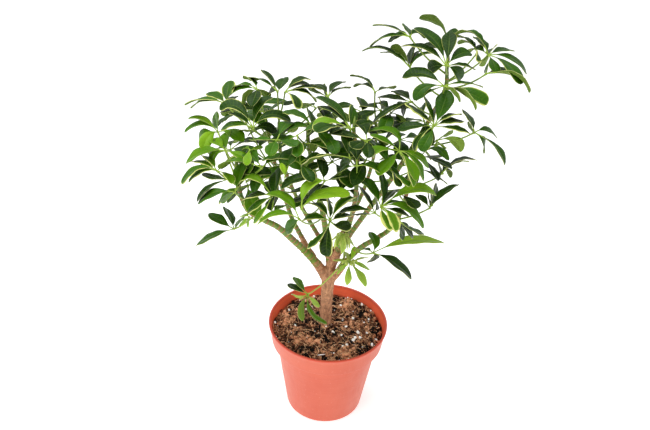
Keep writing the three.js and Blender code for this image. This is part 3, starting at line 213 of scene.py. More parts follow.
leaf(330, 221, -6, (309.5, 204, 321, 207.5, 6.5), (303, 220, 316, 217, 7.5), (328, 197, 329.5, 209, 5.5),
    (355, 197.5, 341, 205, 7), (350.5, 215, 340, 217, 6), (350, 223, 339.5, 227, 8),
    (327, 256.5, 327, 240, 12.5), (307.5, 247, 318.5, 240, 6),
    tones={1: 0.52, 3: 0.45, 4: 0.2, 5: 0.15, 6: 0.15, 7: 0.4}, creams={4: 0.4})
leaf(328, 97, 0, (310, 85.5, 321.5, 86.5, 6), (345, 82.5, 334.5, 86, 6), (350, 88.5, 337.5, 89.5, 1.8),
    (310, 91, 318, 92.5, -3), (323.5, 88.5, 326, 92.5, -6), tone=0.2, tones={0: 0.18})
leaf(333, 113, 0, (352, 104.5, 342, 106, 7), (322, 126), (348, 122), tones={0: 0.2})
leaf(350, 129, 0, (316, 97, 337, 109.5, 6.5), (318, 106.3, 335, 112.5, 5), (353.5, 107, 351.5, 117.5, 9.5),
    (314, 129.5, 329, 121.5, 7), (331, 131, 341, 124.5, 6), (315, 133, 330, 126.5, 5),
    (371, 121.5, 361, 124.5, 8), tones={2: 0.4, 3: 0.72})
leaf(350, 158, -4, (310.5, 140, 331, 143, 10), (346, 132.5, 347.5, 146, 11),
    (303.5, 168.5, 323, 156.5, 2.5), (340, 165, 348.5, 162.5, 10), tones={0: 0.15, 1: 0.15, 3: 0.35},
    creams={2: 0.9})
leaf(357, 166, -10, (335, 180), (382, 174), more=2)
leaf(340, 196, 10, (322, 196), (345, 178))
leaf(367, 141, 0, (352, 148), (385, 146), (368, 158), (360, 126), more=1)
leaf(366, 160, 40, more=4)
leaf(345, 190, 60, (357, 202), (334, 197))
grow("shoot_right", "low", (4.6, 2.1), 0.25, 0.42, [
    (331, 279, 5), (338, 272, 1), (346, 262, -7), (360, 248, -20), (377, 238, -30), (390, 229, -38),
    (400, 214, -44), (406, 196, -44), (409, 178, -38), (411, 162, -28),
])
leaf(381, 207, 0, (359.5, 177.5, 372.5, 190, 8.5), (381, 172, 383.8, 188, 7.5), (436, 195, 412, 189.5, 9.5),
    (423.5, 228.5, 405.5, 207, 8.5), (391, 231, 384, 217, 7.5), (396.5, 232.5, 391.5, 216, 8.5),
    (394.5, 190, 387, 198, 6.5), (407, 204.5, 395.5, 201.5, 3.5), (409.5, 216.5, 398, 211.5, 5.5),
    tones={2: 0.75, 3: 0.72, 4: 0.7, 5: 0.66, 6: 0.18, 8: 0.2}, creams={4: 0.75, 5: 0.8})
leaf(375, 213, 8, (359.5, 186, 368.5, 200.5, 3.8), (336, 215.5, 356, 209, 6.5),
    (354, 214.3, 364, 214.8, 1.6), (375, 198, 376.5, 205, 2.5), tones={0: 0.15, 1: 0.18})
leaf(430, 208, 0, (458.5, 184.7, 442.5, 194.5, 7), (437, 185.5, 434, 196, 6.5),
    (417.5, 195, 423.5, 200.5, 6), (428, 195.5, 429.5, 201, 2.5), (431.5, 194, 431.5, 201, 3.5),
    tones={2: 0.2})
leaf(399.5, 220.5, 12, (413, 237, 404.5, 227, 5.5), (404.5, 237.5, 400.5, 229, 5),
    (422.5, 232.5, 411, 229.5, 3), tones={0: 0.15, 1: 0.15})
leaf(373, 253, 0, (444.5, 243.3, 408.5, 241, 9.5), (411.5, 278.5, 392.5, 261.5, 8.5),
    (370, 232, 375, 242.5, 8), (368, 262.5, 374.5, 257, 6.5), (357.5, 251, 365.5, 249, 2.5),
    tones={0: 1.1, 1: 0.22, 3: 0.2})
leaf(399, 151, 0, (370, 134.5, 385.5, 140, 5.5), (367, 131, 394, 131.5, 6), (367, 157, 381, 149.5, 6.5),
    (378, 175.5, 389, 162.5, 10), (428.5, 167.5, 416.5, 155, 6.5), (416, 181, 409.5, 163.5, 7.5),
    (423.5, 181, 414.5, 160, 5), (413, 187, 407.5, 168, 5),
    tones={0: 0.7, 1: 0.6, 2: 0.72, 3: 0.75, 4: 0.78, 5: 0.78, 6: 0.7, 7: 0.66})
leaf(399, 193, 14, (415.5, 209, 411, 202, 9), (404.5, 188.5, 402, 190.5, 3), tones={0: 0.15})
leaf(390, 169, 4, (409, 187, 400, 178, 5), (396.5, 186, 396, 177, 5), more=1, tones={1: 0.15})
grow("shoot_back_right", "low", (3.6, 2.0), 0.17, 0.26, [
    (330, 262, 6), (335, 248, 24), (347, 224, 46), (362, 194, 58), (372, 164, 64), (376, 140, 62),
    (376, 120, 56),
])
leaf(375, 92, 0, (350, 76.2, 366, 80, 2), (354.5, 87.3, 366, 84.5, 4), (394, 89, 385, 88.3, 1.8))
leaf(381, 110.5, 0, (360, 107.5, 371, 106, 5), (357, 118, 369, 112.5, 6.5), (381, 101, 381.3, 105.5, 6),
    tones={1: 0.15})
leaf(362, 112, 8, (360.5, 98, 362, 105.5, 8.5), more=2, tone=0.22, tones={0: 0.25})
leaf(391, 113, 0, (374, 106), (408, 108), (402, 130), more=1)
leaf(404, 123.5, 0, (385.5, 118.8, 395, 119, 4.5), (386, 124.5, 395, 124, 5), (419, 120.5, 411, 119.5, 4))
leaf(345, 120, 100, more=5)
leaf(400, 140, 90, more=6)
leaf(375, 150, 110, more=6)
leaf(418, 168, 70, more=3)
grow("shoot_top", "top", (4.4, 2.2), 0.12, 0.36, [
    (330, 270, 6), (337, 256, 12), (349, 236, 22), (368, 210, 32), (392, 178, 38), (417, 140, 42),
    (436, 108, 40), (446, 86, 36), (447, 66, 32), (449, 54, 30),
])
leaf(410, 37, 0, (373, 26, 391, 27, 2), (371, 47, 388, 36, 3), (388, 42, 400, 34.5, 5.5),
    (405, 25, 408.5, 31, 7), (424, 38.5, 416, 32, 3))
leaf(410, 68, 0, (362, 51.5, 386, 49.5, 3.5), (380, 53, 396, 54.5, 3), (390, 49, 402.5, 55, -7),
    (411.5, 47.5, 410.5, 57, 6), (419, 50.5, 414, 58.5, 5), (438, 53.5, 420, 56, 2.5))
leaf(446, 66, -10, (414, 28, 435, 41, 10), (449, 32.5, 449, 46, 12.5), (401, 46.5, 427, 49, 6.2),
    (428, 69, 437, 65.5, 11.5), (470, 52.5, 459, 54.5, 9), (461, 79.5, 456, 70.5, 10),
    (475, 70, 461, 65, 3), creams={0: 0.08})
leaf(447, 51, 10, (419, 18.5, 441.5, 27, -3), (453, 28.5, 451, 40, 9), (423, 44.3, 434, 46.5, 4.5),
    tones={0: 0.0, 2: 0.15})
leaf(444, 86, -4, (402.5, 76.5, 424.5, 74.5, 8), (414.5, 100.5, 425, 87.5, 9), (488, 103.5, 468, 93, 9.5),
    (482.5, 87.5, 464, 82.5, 3), (460.5, 101.5, 454, 92, -4.5), (475.5, 110.5, 465, 94, -3.5),
    (416, 101, 430, 91.5, 2.5), tones={0: 0.2}, creams={2: 0.3})
leaf(434, 126, -8, (406, 103.5, 421, 114, 6.5), (425.5, 97.5, 430, 110, 5), (447.5, 90, 442.5, 108, 14),
    (439.5, 102, 434.8, 115, 4.5), (464.5, 122, 449, 121.5, 6.5), (461, 115, 448, 116, 5),
    (470, 133.8, 454, 128.8, 5.2), (398, 129, 415, 125.8, 7), (420.5, 151, 428, 138.5, 10.5),
    (414.5, 151.5, 419, 138, 6), tones={2: 0.4, 3: 0.15, 4: 0.15, 5: 0.15, 9: 0.15},
    creams={2: 0.06, 7: 0.1, 8: 0.1})
leaf(488, 55, 0, (454, 36, 475, 34, 4), (473.5, 37, 483.5, 44, 6.5), (470, 53, 477.5, 48.5, 5.5),
    (512.5, 51.3, 501, 50, 5), (526.5, 73.5, 511, 58, 4.5), (520.5, 84.5, 508.5, 65, 7),
    (494.5, 72, 493.5, 63, 8), (484.5, 66, 485.5, 60, -5), (493.5, 48, 491, 51, 4),
    creams={0: 0.12, 5: 0.12})
leaf(477, 53, 10, (456, 37.5, 468, 39.5, 3.5), (458.5, 44.5, 470, 43, 2.5), (476, 60.5, 478, 55.5, 5),
    creams={2: 0.8})
leaf(486, 74, 5, (514.5, 76.5, 501, 73, 2), (508, 68.5, 498, 69.5, 5), (529, 93, 514, 74.5, -2.5),
    (489, 62, 487.5, 68, 2), tones={1: 0.15})
leaf(474.5, 132.5, 0, (463.5, 110, 470.5, 120, 5.5), (496.5, 138, 487, 129.5, 5),
    (504.5, 165.5, 495, 146.5, 4), (483, 151, 483.5, 141, 5), (468.5, 127.5, 471.5, 128.5, -4))
leaf(412, 102, 0, (393.5, 91, 403.5, 94.5, 7), (378, 97.5, 395, 98.5, 5), (373, 121.5, 392, 108, 5.2),
    (402.5, 115, 405.5, 106.5, 6.5), tones={0: 0.1, 1: 0.12, 2: 0.15, 3: 0.15})
leaf(440, 176, 0, (439, 164, 440, 170, 4), (449.5, 177.5, 446.5, 167.5, 5.5), (477, 160.5, 457, 160.5, 3),
    (468, 162, 454, 163.5, 2.5), tones={1: 0.15, 2: 0.15})
leaf(421, 156, 10, (448.7, 160.5, 435, 148, 4.5), (443, 155, 431, 157, 2.5), (452, 169, 438, 160.5, 5),
    (438.5, 181, 431.5, 168, 4.2), tones={0: 0.65, 1: 0.15, 2: 0.2, 3: 0.15})
leaf(437, 140.5, 6, (460.5, 152, 453.5, 140, -7.5), (452, 134, 445, 135.5, -2),
    (443.5, 148, 439, 143.5, -2.5), (436, 147, 436.5, 144, -3), tone=0.75)
leaf(424, 121, 26, more=3)
grow("shoot_young", "low", (2.6, 1.4), 0.3, 0.86, [
    (332, 278, 3), (337, 270, -9), (341, 264, -18), (344, 258, -23), (344, 250, -26),
])
leaf(349.5, 262, 0, (337, 273, 343, 267.5, 3.5), (347.5, 285, 348.5, 273.5, 6),
    (366, 286.5, 358.5, 273, 5.5), (369.5, 269.5, 360, 264.5, 4.5), (354, 246.5, 353.5, 254, 4.5),
    (346, 252, 347.5, 257, 4), (334, 260, 341, 260.5, 3.5), (368, 257.5, 360.5, 259, 2), size=0.75, at=-30,
    tone=1.1, tones={0: 1.1, 1: 1.16, 2: 1.14, 3: 1.12, 4: 1.05, 5: 1.3, 6: 1.3, 7: 1.3}, bud=(12, 10, 2))
leaf(308, 294, 0, (296, 277.5, 300, 285.5, 5.5), (289, 283.5, 297, 289, 6),
    (293.5, 294.5, 298.5, 297.5, -5), (303.3, 320.5, 301.5, 308, -6.5), (327, 324, 311, 314, 5.5),
    (319, 304, 312.5, 301, 4), size=0.85, at=-40, tone=0.8, tones={1: 0.3, 2: 1.12, 5: 1.1})
leaf(343, 235, 0, (337, 247, 338, 239, 3.5), (341.5, 254, 342.5, 244, 3.5), (331, 241, 337, 237, 2),
    (354, 246, 349, 239, 3), (335.5, 245, 338.5, 239, 3), (346, 249, 345, 241, 3), size=0.5, at=-30,
    tone=1.25, bud=(17, 10, 24))

# Vectors


def vec(x, y, z):
    return np.array([x, y, z], float)


def unit(v):
    return v / np.linalg.norm(v)


def units(rows):
    return rows / np.linalg.norm(rows, axis=-1, keepdims=True)


def smooth_step(low, high, value):
    t = np.clip((value - low) / (high - low), 0, 1)
    return t * t * (3 - 2 * t)


def between(pair, share):
    return pair[0] + (pair[1] - pair[0]) * share


def seeded(seed):
    """A generator of numbers between 0 and 1, the same as in the solids."""
    most = 2147483647
    state = [(seed * 7919 + 12345) % most]

    def draw():
        state[0] = (state[0] * 48271) % most
        return state[0] / most

    return draw


VIEW_FORWARD = vec(0, math.cos(VIEW_ELEVATION), -math.sin(VIEW_ELEVATION))
VIEW_EYE = VIEW_TARGET - VIEW_DISTANCE * VIEW_FORWARD
LEVEL_UP = vec(0, math.sin(VIEW_ELEVATION), math.cos(VIEW_ELEVATION))
VIEW_RIGHT = vec(math.cos(VIEW_ROLL), 0, 0) + math.sin(VIEW_ROLL) * LEVEL_UP
VIEW_UP = vec(-math.sin(VIEW_ROLL), 0, 0) + math.cos(VIEW_ROLL) * LEVEL_UP


def sight_line(pixel):
    across = (pixel[0] - PICTURE[0] / 2) / VIEW_FOCAL
    above = (PICTURE[1] / 2 - pixel[1]) / VIEW_FOCAL
    return unit(VIEW_FORWARD + across * VIEW_RIGHT + above * VIEW_UP)


def seen_at(pixel, axis, level):
    """The place seen at a pixel where one of its coordinates has a given value."""
    aim = sight_line(pixel)
    return VIEW_EYE + aim * (level - VIEW_EYE[axis]) / aim[axis]


def seen_at_depth(pixel, depth):
    return seen_at(pixel, 1, depth)


def seen_at_height(pixel, height):
    return seen_at(pixel, 2, height)


def seen_on_crown(pixel, crown, push):
    aim = sight_line(pixel)
    start = (VIEW_EYE - crown["centre"]) / crown["radii"]
    step = aim / crown["radii"]
    a = step @ step
    half = start @ step
    inside = max(0.0, half * half - a * (start @ start - 1))
    return VIEW_EYE + aim * ((-half - math.sqrt(inside)) / a + push)


def seen_near(pixel, place):
    aim = sight_line(pixel)
    return VIEW_EYE + aim * ((place - VIEW_EYE) @ aim)


# Curves


class Spline:
    """A centripetal curve through points, with a place for each share of its spans."""

    def __init__(self, places):
        first = 2 * places[0] - places[1]
        last = 2 * places[-1] - places[-2]
        self.points = [first, *places, last]
        self.spans = len(places) - 1

    def at(self, share):
        place = min(max(share, 0.0), 1.0) * self.spans
        k = min(int(place), self.spans - 1)
        t = place - k
        p0, p1, p2, p3 = self.points[k : k + 4]
        d0, d1, d2 = (np.linalg.norm(b - a) ** 0.5 for a, b in ((p0, p1), (p1, p2), (p2, p3)))
        m1 = ((p1 - p0) / d0 - (p2 - p0) / (d0 + d1) + (p2 - p1) / d1) * d1
        m2 = ((p2 - p1) / d1 - (p3 - p1) / (d1 + d2) + (p3 - p2) / d2) * d1
        c2 = -3 * p1 + 3 * p2 - 2 * m1 - m2
        c3 = 2 * p1 - 2 * p2 + m1 + m2
        return p1 + m1 * t + c2 * t * t + c3 * t * t * t

    def line(self, shares):
        return np.array([self.at(s) for s in shares])

    def length(self, share=1.0):
        return lengths_along(self.line(np.linspace(0, share, 80)))[-1] if share > 0 else 0.0


def lengths_along(line):
    steps = np.linalg.norm(np.diff(line, axis=0), axis=1)
    return np.concatenate([[0], np.cumsum(steps)])


def bezier(start, bend, end, shares):
    t = np.asarray(shares, float)[:, None]
    return (1 - t) ** 2 * start + 2 * t * (1 - t) * bend + t * t * end


# The plan of each leaf, repeated from the solids with the same seeds.


def seen_tip(seen, hub, normal, drop, size):
    aim = sight_line(seen)
    reach = (hub - drop * normal - VIEW_EYE) @ normal / (aim @ normal)
    to_hub = hub - VIEW_EYE
    nearest = to_hub @ aim
    off = math.sqrt(to_hub @ to_hub - nearest * nearest)
    shortest = LEAFLET_SHORTEST * size
    least = math.sqrt(max(0.0, shortest**2 - off * off))
    longest = LEAFLET_SLANT * max(off, shortest)
    most = math.sqrt(max(0.0, longest * longest - off * off))
    side = -1 if reach < nearest else 1
    return VIEW_EYE + aim * (nearest + side * min(max(abs(reach - nearest), least), most))


def widest_gap(leaflets, turned_to, first, seen):
    """The middle of the widest gap in a leaf. Gaps at the back count less in a leaf with seen leaflets."""
    turns = sorted(leaflet["turn"] for leaflet in leaflets)
    widest = 0
    middle = first
    for k, turn in enumerate(turns):
        after = turns[k + 1] if k + 1 < len(turns) else turns[0] + 2 * math.pi
        halfway = (after + turn) / 2
        room = (after - turn) * (0.3 if seen and turned_to(halfway)[1] < 0 else 1)
        if room > widest:
            widest = room
            middle = halfway
    return middle - 2 * math.pi if middle > math.pi else middle


def leaf_plan(shoot, row, seed, shift):
    random = seeded(seed)
    crown = CROWNS[shoot["crown"]]
    size = row["size"]
    if row["at"] is not None:
        hub = seen_at_depth(row["hub"], row["at"] + shift)
    else:
        hub = seen_on_crown(row["hub"], crown, row["push"] + shift)
    outward = unit((hub - crown["centre"]) / crown["radii"])
    lean = [0.3 * (random() - 0.5), 0.3 * (random() - 0.5)]
    normal = unit(vec(0, 0, 1) + LEAF_LEAN * outward + vec(lean[0], lean[1], 0))
    aside = unit(np.cross(normal, vec(0.1, 1, 0.05)))
    forward = unit(np.cross(normal, aside))

    def turned_to(turn):
        return math.cos(turn) * aside + math.sin(turn) * forward

    leaflets = []
    for place, seen in enumerate(row["tips"]):
        drop = LEAFLET_DROP[0] + LEAFLET_DROP[1] * random()
        tip = seen_tip(seen, hub, normal, drop, size)
        start = tip - hub
        if len(seen) > 2:
            lift = LEAFLET_MIDDLE[1] * np.linalg.norm(start)
            halfway = hub + LEAFLET_MIDDLE[0] * start + lift * normal
            start = bend_through(seen_near(seen[2:4], halfway), hub, tip) - hub
        turn = math.atan2(start @ forward, start @ aside)
        leaflets.append({"tip": tip, "seen": seen, "place": place, "turn": turn})
    for _ in range(row["more"]):
        turn = widest_gap(leaflets, turned_to, random() * 6, row["tips"])
        length = size * between(LEAFLET_USUAL, random())
        tip = hub + 0.93 * length * turned_to(turn) - 0.3 * length * random() * normal
        leaflets.append({"tip": tip, "seen": (), "place": None, "turn": turn})
    leaflets.sort(key=lambda leaflet: leaflet["turn"])
    spread_turns(leaflets)
    for leaflet in leaflets:
        leaflet["hub"] = hub
        leaflet["out"] = turned_to(leaflet["turn"])
        leaflet["arch"] = between(LEAFLET_ARCH, random())
        leaflet["fold"] = LEAFLET_FOLD[0] + LEAFLET_FOLD[1] * random()
        leaflet["normal"] = unit(normal + 0.4 * vec(random() - 0.5, random() - 0.5, 0))
        leaflet["home"] = leaflet["tip"]
        leaflet["base"] = normal
    return {"hub": hub, "normal": normal, "leaflets": leaflets, "size": size}


def spread_turns(leaflets):
    count = len(leaflets)
    spacing = min(HUB_SPACING, 1.9 * math.pi / count)
    for _ in range(40):
        for i, here in enumerate(leaflets):
            after = leaflets[(i + 1) % count]
            wrap = 2 * math.pi if i + 1 == count else 0
            short = spacing - (after["turn"] + wrap - here["turn"])
            if short > 0:
                here["turn"] -= short / 2
                after["turn"] += short / 2


def bend_through(middle, hub, tip):
    return 2 * middle - (hub + tip) / 2


def bend_leaflet(leaflet, amount):
    aim = unit(leaflet["home"] - VIEW_EYE)
    arm = leaflet["home"] + amount * aim - leaflet["hub"]
    most = LEAFLET_REACH * np.linalg.norm(leaflet["home"] - leaflet["hub"])
    length = min(np.linalg.norm(arm), most)
    arm = unit(arm)
    leaflet["tip"] = leaflet["hub"] + length * arm
    lift = (leaflet["arch"] - 0.004 * amount) * length
    leaflet["bend"] = leaflet["hub"] + 0.3 * length * (leaflet["out"] + arm) + lift * leaflet["base"]
    leaflet["width"] = min(LEAFLET_ASPECT * length, LEAFLET_WIDEST)
    leaflet["length"] = length
    if len(leaflet["seen"]) > 2:
        follow_view(leaflet, arm)


def follow_view(leaflet, heading):
    """A seen leaflet runs through its seen middle, rolled until it shows its seen width and side."""
    seen_width = leaflet["seen"][4]
    natural = leaflet["hub"] / 4 + leaflet["bend"] / 2 + leaflet["tip"] / 4
    middle = seen_near(leaflet["seen"][2:4], natural)
    leaflet["bend"] = bend_through(middle, leaflet["hub"], leaflet["tip"])
    sight = middle - VIEW_EYE
    width = abs(seen_width) * np.linalg.norm(sight) / VIEW_FOCAL
    leaflet["width"] = min(max(leaflet["width"], width), LEAFLET_WIDEST)
    share = min(1.0, width / leaflet["width"])
    level = unit(np.cross(sight, heading))
    lean = math.sqrt(1 - share * share) * np.sign(level @ leaflet["base"])
    leaflet["normal"] = lean * level - np.sign(seen_width) * share * np.cross(heading, level)


def bend_amounts(step):
    return [step * ((k + 1) // 2) * (1 if k % 2 else -1) for k in range(BENDS)]


# Which bend each leaf took is found from the corners of its solid.


def near_tree(places):
    tree = KDTree(len(places))
    for i, place in enumerate(places):
        tree.insert(place, i)
    tree.balance()
    return tree


def hits(corners, points, within=0.1):
    """How many of the points have a corner of the solid, within some millimetres."""
    return sum(corners.find(Vector(p / 1000))[2] < within / 1000 for p in points)


def petiole_points(leaf, sway):
    arm = leaf["hub"] - leaf["foot"]
    aside = unit(np.cross(arm, leaf["normal"]))
    sag = -PETIOLE_SAG * np.linalg.norm(arm)
    elbow = leaf["foot"] + 0.6 * arm + sag * leaf["normal"] + sway * aside
    return leaf["foot"], elbow, leaf["hub"]


def petiole_foot(woody, curve, hub):
    """The place on the stem, above its woody part, from which a petiole to the hub is short and rises."""
    best = None
    share = woody + 0.04
    while share <= 1:
        foot = curve.at(share)
        level = math.hypot(foot[0] - hub[0], foot[1] - hub[1])
        above = max(0.0, foot[2] - (hub[2] - 10 - 0.5 * level))
        cost = np.linalg.norm(foot - hub) + 1.6 * above
        if best is None or cost < best[0]:
            best = (cost, foot)
        share += 0.02
    return best[1]


def find_sway(corners, leaf):
    """The sway that brings the middle of the petiole nearest to its three nearest solid corners."""
    def miss(sway):
        middle = bezier(*petiole_points(leaf, sway), [0.5])[0]
        found = corners.find_n(Vector(middle / 1000), 3)
        return sum(abs(distance * 1000 - 1.1) for _, _, distance in found)

    return min(bend_amounts(2 * BEND_STEP), key=miss)


def find_leaf(shoot, row, seed, corners):
    most = -1
    for amount in bend_amounts(2 * BEND_STEP):
        plan = leaf_plan(shoot, row, seed, amount)
        half = HUB_HALF * plan["normal"]
        found = hits(corners, [plan["hub"] + half, plan["hub"] - half])
        if found > most:
            most = found
            leaf = plan
        if found == 2:
            break
    for leaflet in leaf["leaflets"]:
        for amount in bend_amounts(BEND_STEP):
            bend_leaflet(leaflet, amount)
            if hits(corners, [leaflet["tip"]]):
                leaflet["kept"] = True
                break
    return leaf


# Meshes


class Skin:
    """Points, faces and marks of one piece, gathered from closed tubes and lumps."""

    def __init__(self, *marks):
        self.points = []
        self.faces = []
        self.marks = {name: [] for name in marks}
        self.count = 0

    def add(self, points, faces, marks):
        points = np.asarray(points, float).reshape(-1, 3)
        for name, values in self.marks.items():
            given = np.asarray(marks.get(name, 0.0), float)
            values.append(np.broadcast_to(given, (len(points),)) if given.ndim == 0 else given.ravel())
        self.points.append(points)
        self.faces.extend([[self.count + i for i in face] for face in faces])
        self.count += len(points)

    def tube(self, rings, **marks):
        """rings is an array of stations by places by 3, each ring closed on itself."""
        stations, places = rings.shape[:2]
        faces = []
        for low in range(0, (stations - 1) * places, places):
            for i in range(places):
                j = (i + 1) % places
                faces.append((low + i, low + j, low + places + j, low + places + i))
        faces.append(tuple(range(places - 1, -1, -1)))
        faces.append(tuple(range((stations - 1) * places, stations * places)))
        full = {}
        for name, value in marks.items():
            value = np.asarray(value, float)
            if value.ndim == 1 and len(value) == stations:
                value = np.repeat(value[:, None], places, axis=1)
            full[name] = value
        self.add(rings, faces, full)

    def piece(self, name, materials, slot):
        points = np.concatenate(self.points) / 1000
        mesh = bpy.data.meshes.new(name)
        mesh.from_pydata(points.tolist(), [], self.faces)
        for mark, values in self.marks.items():
            hold_mark(mesh, mark, np.concatenate(values))
        smooth_faces(mesh)
        mesh.update()
        piece = bpy.data.objects.new(name, mesh)
        bpy.context.scene.collection.objects.link(piece)
        for material in materials:
            mesh.materials.append(material)
        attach(piece, "root")
        return piece


def hold_mark(mesh, name, values):
    held = mesh.attributes.new(name, "FLOAT", "POINT")
    held.data.foreach_set("value", values.astype(np.float32))


def smooth_faces(mesh):
    mesh.polygons.foreach_set("use_smooth", [True] * len(mesh.polygons))


def round_rings(line, radii, sides):
    """Rings of round sections along a line, with no twist between them."""
    ways = units(np.gradient(line, axis=0))
    side = vec(1, 0, 0) if abs(ways[0][0]) < 0.8 else vec(0, 1, 0)
    turns = np.arange(sides) * 2 * math.pi / sides
    rings = []
    for place, way, radius in zip(line, ways, radii):
        side = unit(side - way * (side @ way))
        other = np.cross(way, side)
        out = np.outer(np.cos(turns), side) + np.outer(np.sin(turns), other)
        rings.append(place + out * radius)
    return np.array(rings)


# Leaflets

BLADE_STATIONS = np.array([
    0.01, 0.06, 0.11, 0.145, 0.165, 0.185, 0.21, 0.25, 0.31, 0.38, 0.45, 0.52, 0.59, 0.66,
    0.725, 0.785, 0.835, 0.88, 0.915, 0.945, 0.968, 0.985, 0.995, 1.0,
])
BLADE_ACROSS = np.array([-1, -0.93, -0.78, -0.56, -0.32, -0.12, 0, 0.12, 0.32, 0.56, 0.78, 0.93, 1])
BLADE_FOOT = 0.16
OUTLINE_AT = [0, 0.06, 0.15, 0.27, 0.4, 0.52, 0.62, 0.72, 0.81, 0.88, 0.935, 0.97, 0.99, 1]
OUTLINE_WIDE = [0.07, 0.15, 0.33, 0.58, 0.81, 0.94, 0.99, 1.0, 0.94, 0.83, 0.66, 0.46, 0.26, 0.03]
STALK_RADIUS = 0.74


def blade_outline(shares, point):
    """Half-width at each share of the blade; point is 0 for a blunt tip and 1 for a tapered one."""
    blunt = np.interp(shares, OUTLINE_AT, OUTLINE_WIDE)
    return blunt * (1 - 0.36 * point * smooth_step(0.66, 1.0, shares))


def add_leaflet(skin, leaflet, draw, size, tone, cream):
    hub, bend, tip = leaflet["hub"], leaflet["bend"], leaflet["tip"]
    v = BLADE_STATIONS[:, None]
    u = BLADE_ACROSS[None, :]
    line = bezier(hub, bend, tip, BLADE_STATIONS)
    ways = units((bend - hub) * (1 - v) + (tip - bend) * v)
    right = units(np.cross(ways, leaflet["normal"]))
    twist = (draw() - 0.5) * 0.45 * smooth_step(0.3, 1.0, v)
    top = np.cross(right, ways)
    right, top = right * np.cos(twist) + top * np.sin(twist), top * np.cos(twist) - right * np.sin(twist)
    point = draw()
    inner = np.clip((v - BLADE_FOOT) / (1 - BLADE_FOOT), 0, 1)
    blade = smooth_step(0.13, 0.21, v)
    half = 0.5 * leaflet["width"] * (1.12 + 0.12 * draw()) * blade_outline(inner, point)
    stalk = STALK_RADIUS * (0.4 + 0.6 * size)
    half = stalk + (half - stalk) * blade
    spine = np.abs(u)
    waves = 2 + 2 * draw()
    phase = 6.3 * draw()
    ripple = (0.02 + 0.05 * draw()) * np.sin(waves * 2 * math.pi * v + phase + 1.3 * np.sign(u))
    rise = leaflet["fold"] * (1.35 * spine - 0.35 * spine**2) - 0.1 * spine**5 + ripple * spine**2
    rise = rise * half * blade
    groove = 0.3 * np.exp(-((u / 0.07) ** 2)) * blade * (1 - 0.6 * v)
    thick = 0.34 - 0.12 * spine**2
    dome = stalk * np.sqrt(np.maximum(0, 1 - u**2)) * 0.9
    face = (dome + (thick - dome) * blade) * np.minimum(1, (1.02 - v) / 0.05)
    rib = 0.55 * np.exp(-((u / 0.09) ** 2)) * blade * (1 - 0.85 * v)
    flat = line[:, None, :] + right[:, None, :] * (half * u)[..., None]
    uppers = flat + top[:, None, :] * (rise + face - groove)[..., None]
    lowers = flat + top[:, None, :] * (rise - face - rib)[..., None]
    rings = np.concatenate([uppers, lowers[:, ::-1]], axis=1)
    skin.tube(
        rings,
        across=np.broadcast_to(np.concatenate([BLADE_ACROSS, BLADE_ACROSS[::-1]]), rings.shape[:2]),
        along=BLADE_STATIONS,
        under=np.broadcast_to(np.repeat([0.0, 1.0], len(BLADE_ACROSS)), rings.shape[:2]),
        stalk=1 - blade[:, 0],
        chance=draw(),
        tone=tone,
        cream=cream,
        length=leaflet["length"],
    )


def add_petiole(skin, leaf, sway, tone, chance):
    shares = np.linspace(0, 1, 18)
    line = bezier(*petiole_points(leaf, sway), shares)
    size = 0.45 + 0.55 * leaf["size"]
    lengths = lengths_along(line)
    radii = 1.2 - 0.24 * shares + 0.9 * np.exp(-lengths / 2.2)
    radii = radii + 0.7 * np.exp(-((lengths[-1] - lengths) / 1.8) ** 2)
    skin.tube(round_rings(line, radii * size, 9), stalk=1.0, along=shares, tone=tone, chance=chance)


def add_bud(skin, hub, draw, count, spread, hang):
    """Folded young leaflets round a hub: how many, and how far they spread and hang, in mm."""
    for k in range(count):
        turn = 2 * math.pi * (k + 0.6 * draw()) / count
        out = vec(math.cos(turn), math.sin(turn), 0)
        reach = spread * (0.6 + 0.6 * draw())
        tip = hub + out * reach + vec(0, 0, -hang * (0.35 + 0.65 * draw()))
        leaflet = {
            "hub": hub, "bend": hub + out * reach * 0.8 + vec(0, 0, 2.5), "tip": tip,
            "normal": unit(vec(0, 0, 1) + out * 0.6), "width": 1.9 + 1.3 * draw(), "fold": 0.7,
            "length": np.linalg.norm(tip - hub),
        }
        add_leaflet(skin, leaflet, draw, 0.2, 1.3 + 0.2 * draw(), 0.2)


# Stems

RING_STEP = (6.5, 11.0)


def ring_places(seed, length):
    """Distances from the fork at which old leaves have left a scar round the stem."""
    draw = seeded(seed)
    places = []
    at = 8.0
    while at < length:
        places.append(at)
        at += between(RING_STEP, draw())
    return np.array(places)


def stem_radius(shoot, shares):
    flare = ROOT_FLARE * np.maximum(0, ROOT_SHARE - shares) / ROOT_SHARE
    return between(shoot["radii"], shares) + flare


def ring_mark(lengths, places):
    apart = np.abs(lengths[:, None] - places[None, :])
    return np.exp(-((apart.min(axis=1) / 0.75) ** 2))


def add_stem(skin, shoot, curve, seed):
    total = curve.length()
    shares = np.linspace(max(0.0, shoot["woody"] - 0.03), 1, 260)
    line = curve.line(shares)
    lengths = lengths_along(line) + curve.length(shares[0])
    rings = ring_mark(lengths, ring_places(seed, total))
    radii = stem_radius(shoot, shares) * 0.97
    radii = np.where(shares < shoot["woody"] + 0.01, radii * 0.94, radii)
    fade = smooth_step(total, total - 60, lengths)
    radii = radii + 0.42 * rings * (0.35 + 0.65 * fade)
    radii = radii * np.clip(0.25 + (total - lengths) / 9, 0.25, 1)
    ring = round_rings(line, radii, 18)
    bumps = np.array([[noise.noise(Vector(p * 0.35)) for p in row] for row in ring])
    centre = line[:, None, :]
    ring = centre + (ring - centre) * (1 + 0.05 * bumps[..., None])
    woody = smooth_step(60, 14, lengths)
    scar = rings * (0.3 + 0.7 * fade)
    skin.tube(ring, stalk=1.0, stem=1.0, woody=woody, scar=scar, along=shares, chance=0.5, tone=0.5)



# Materials


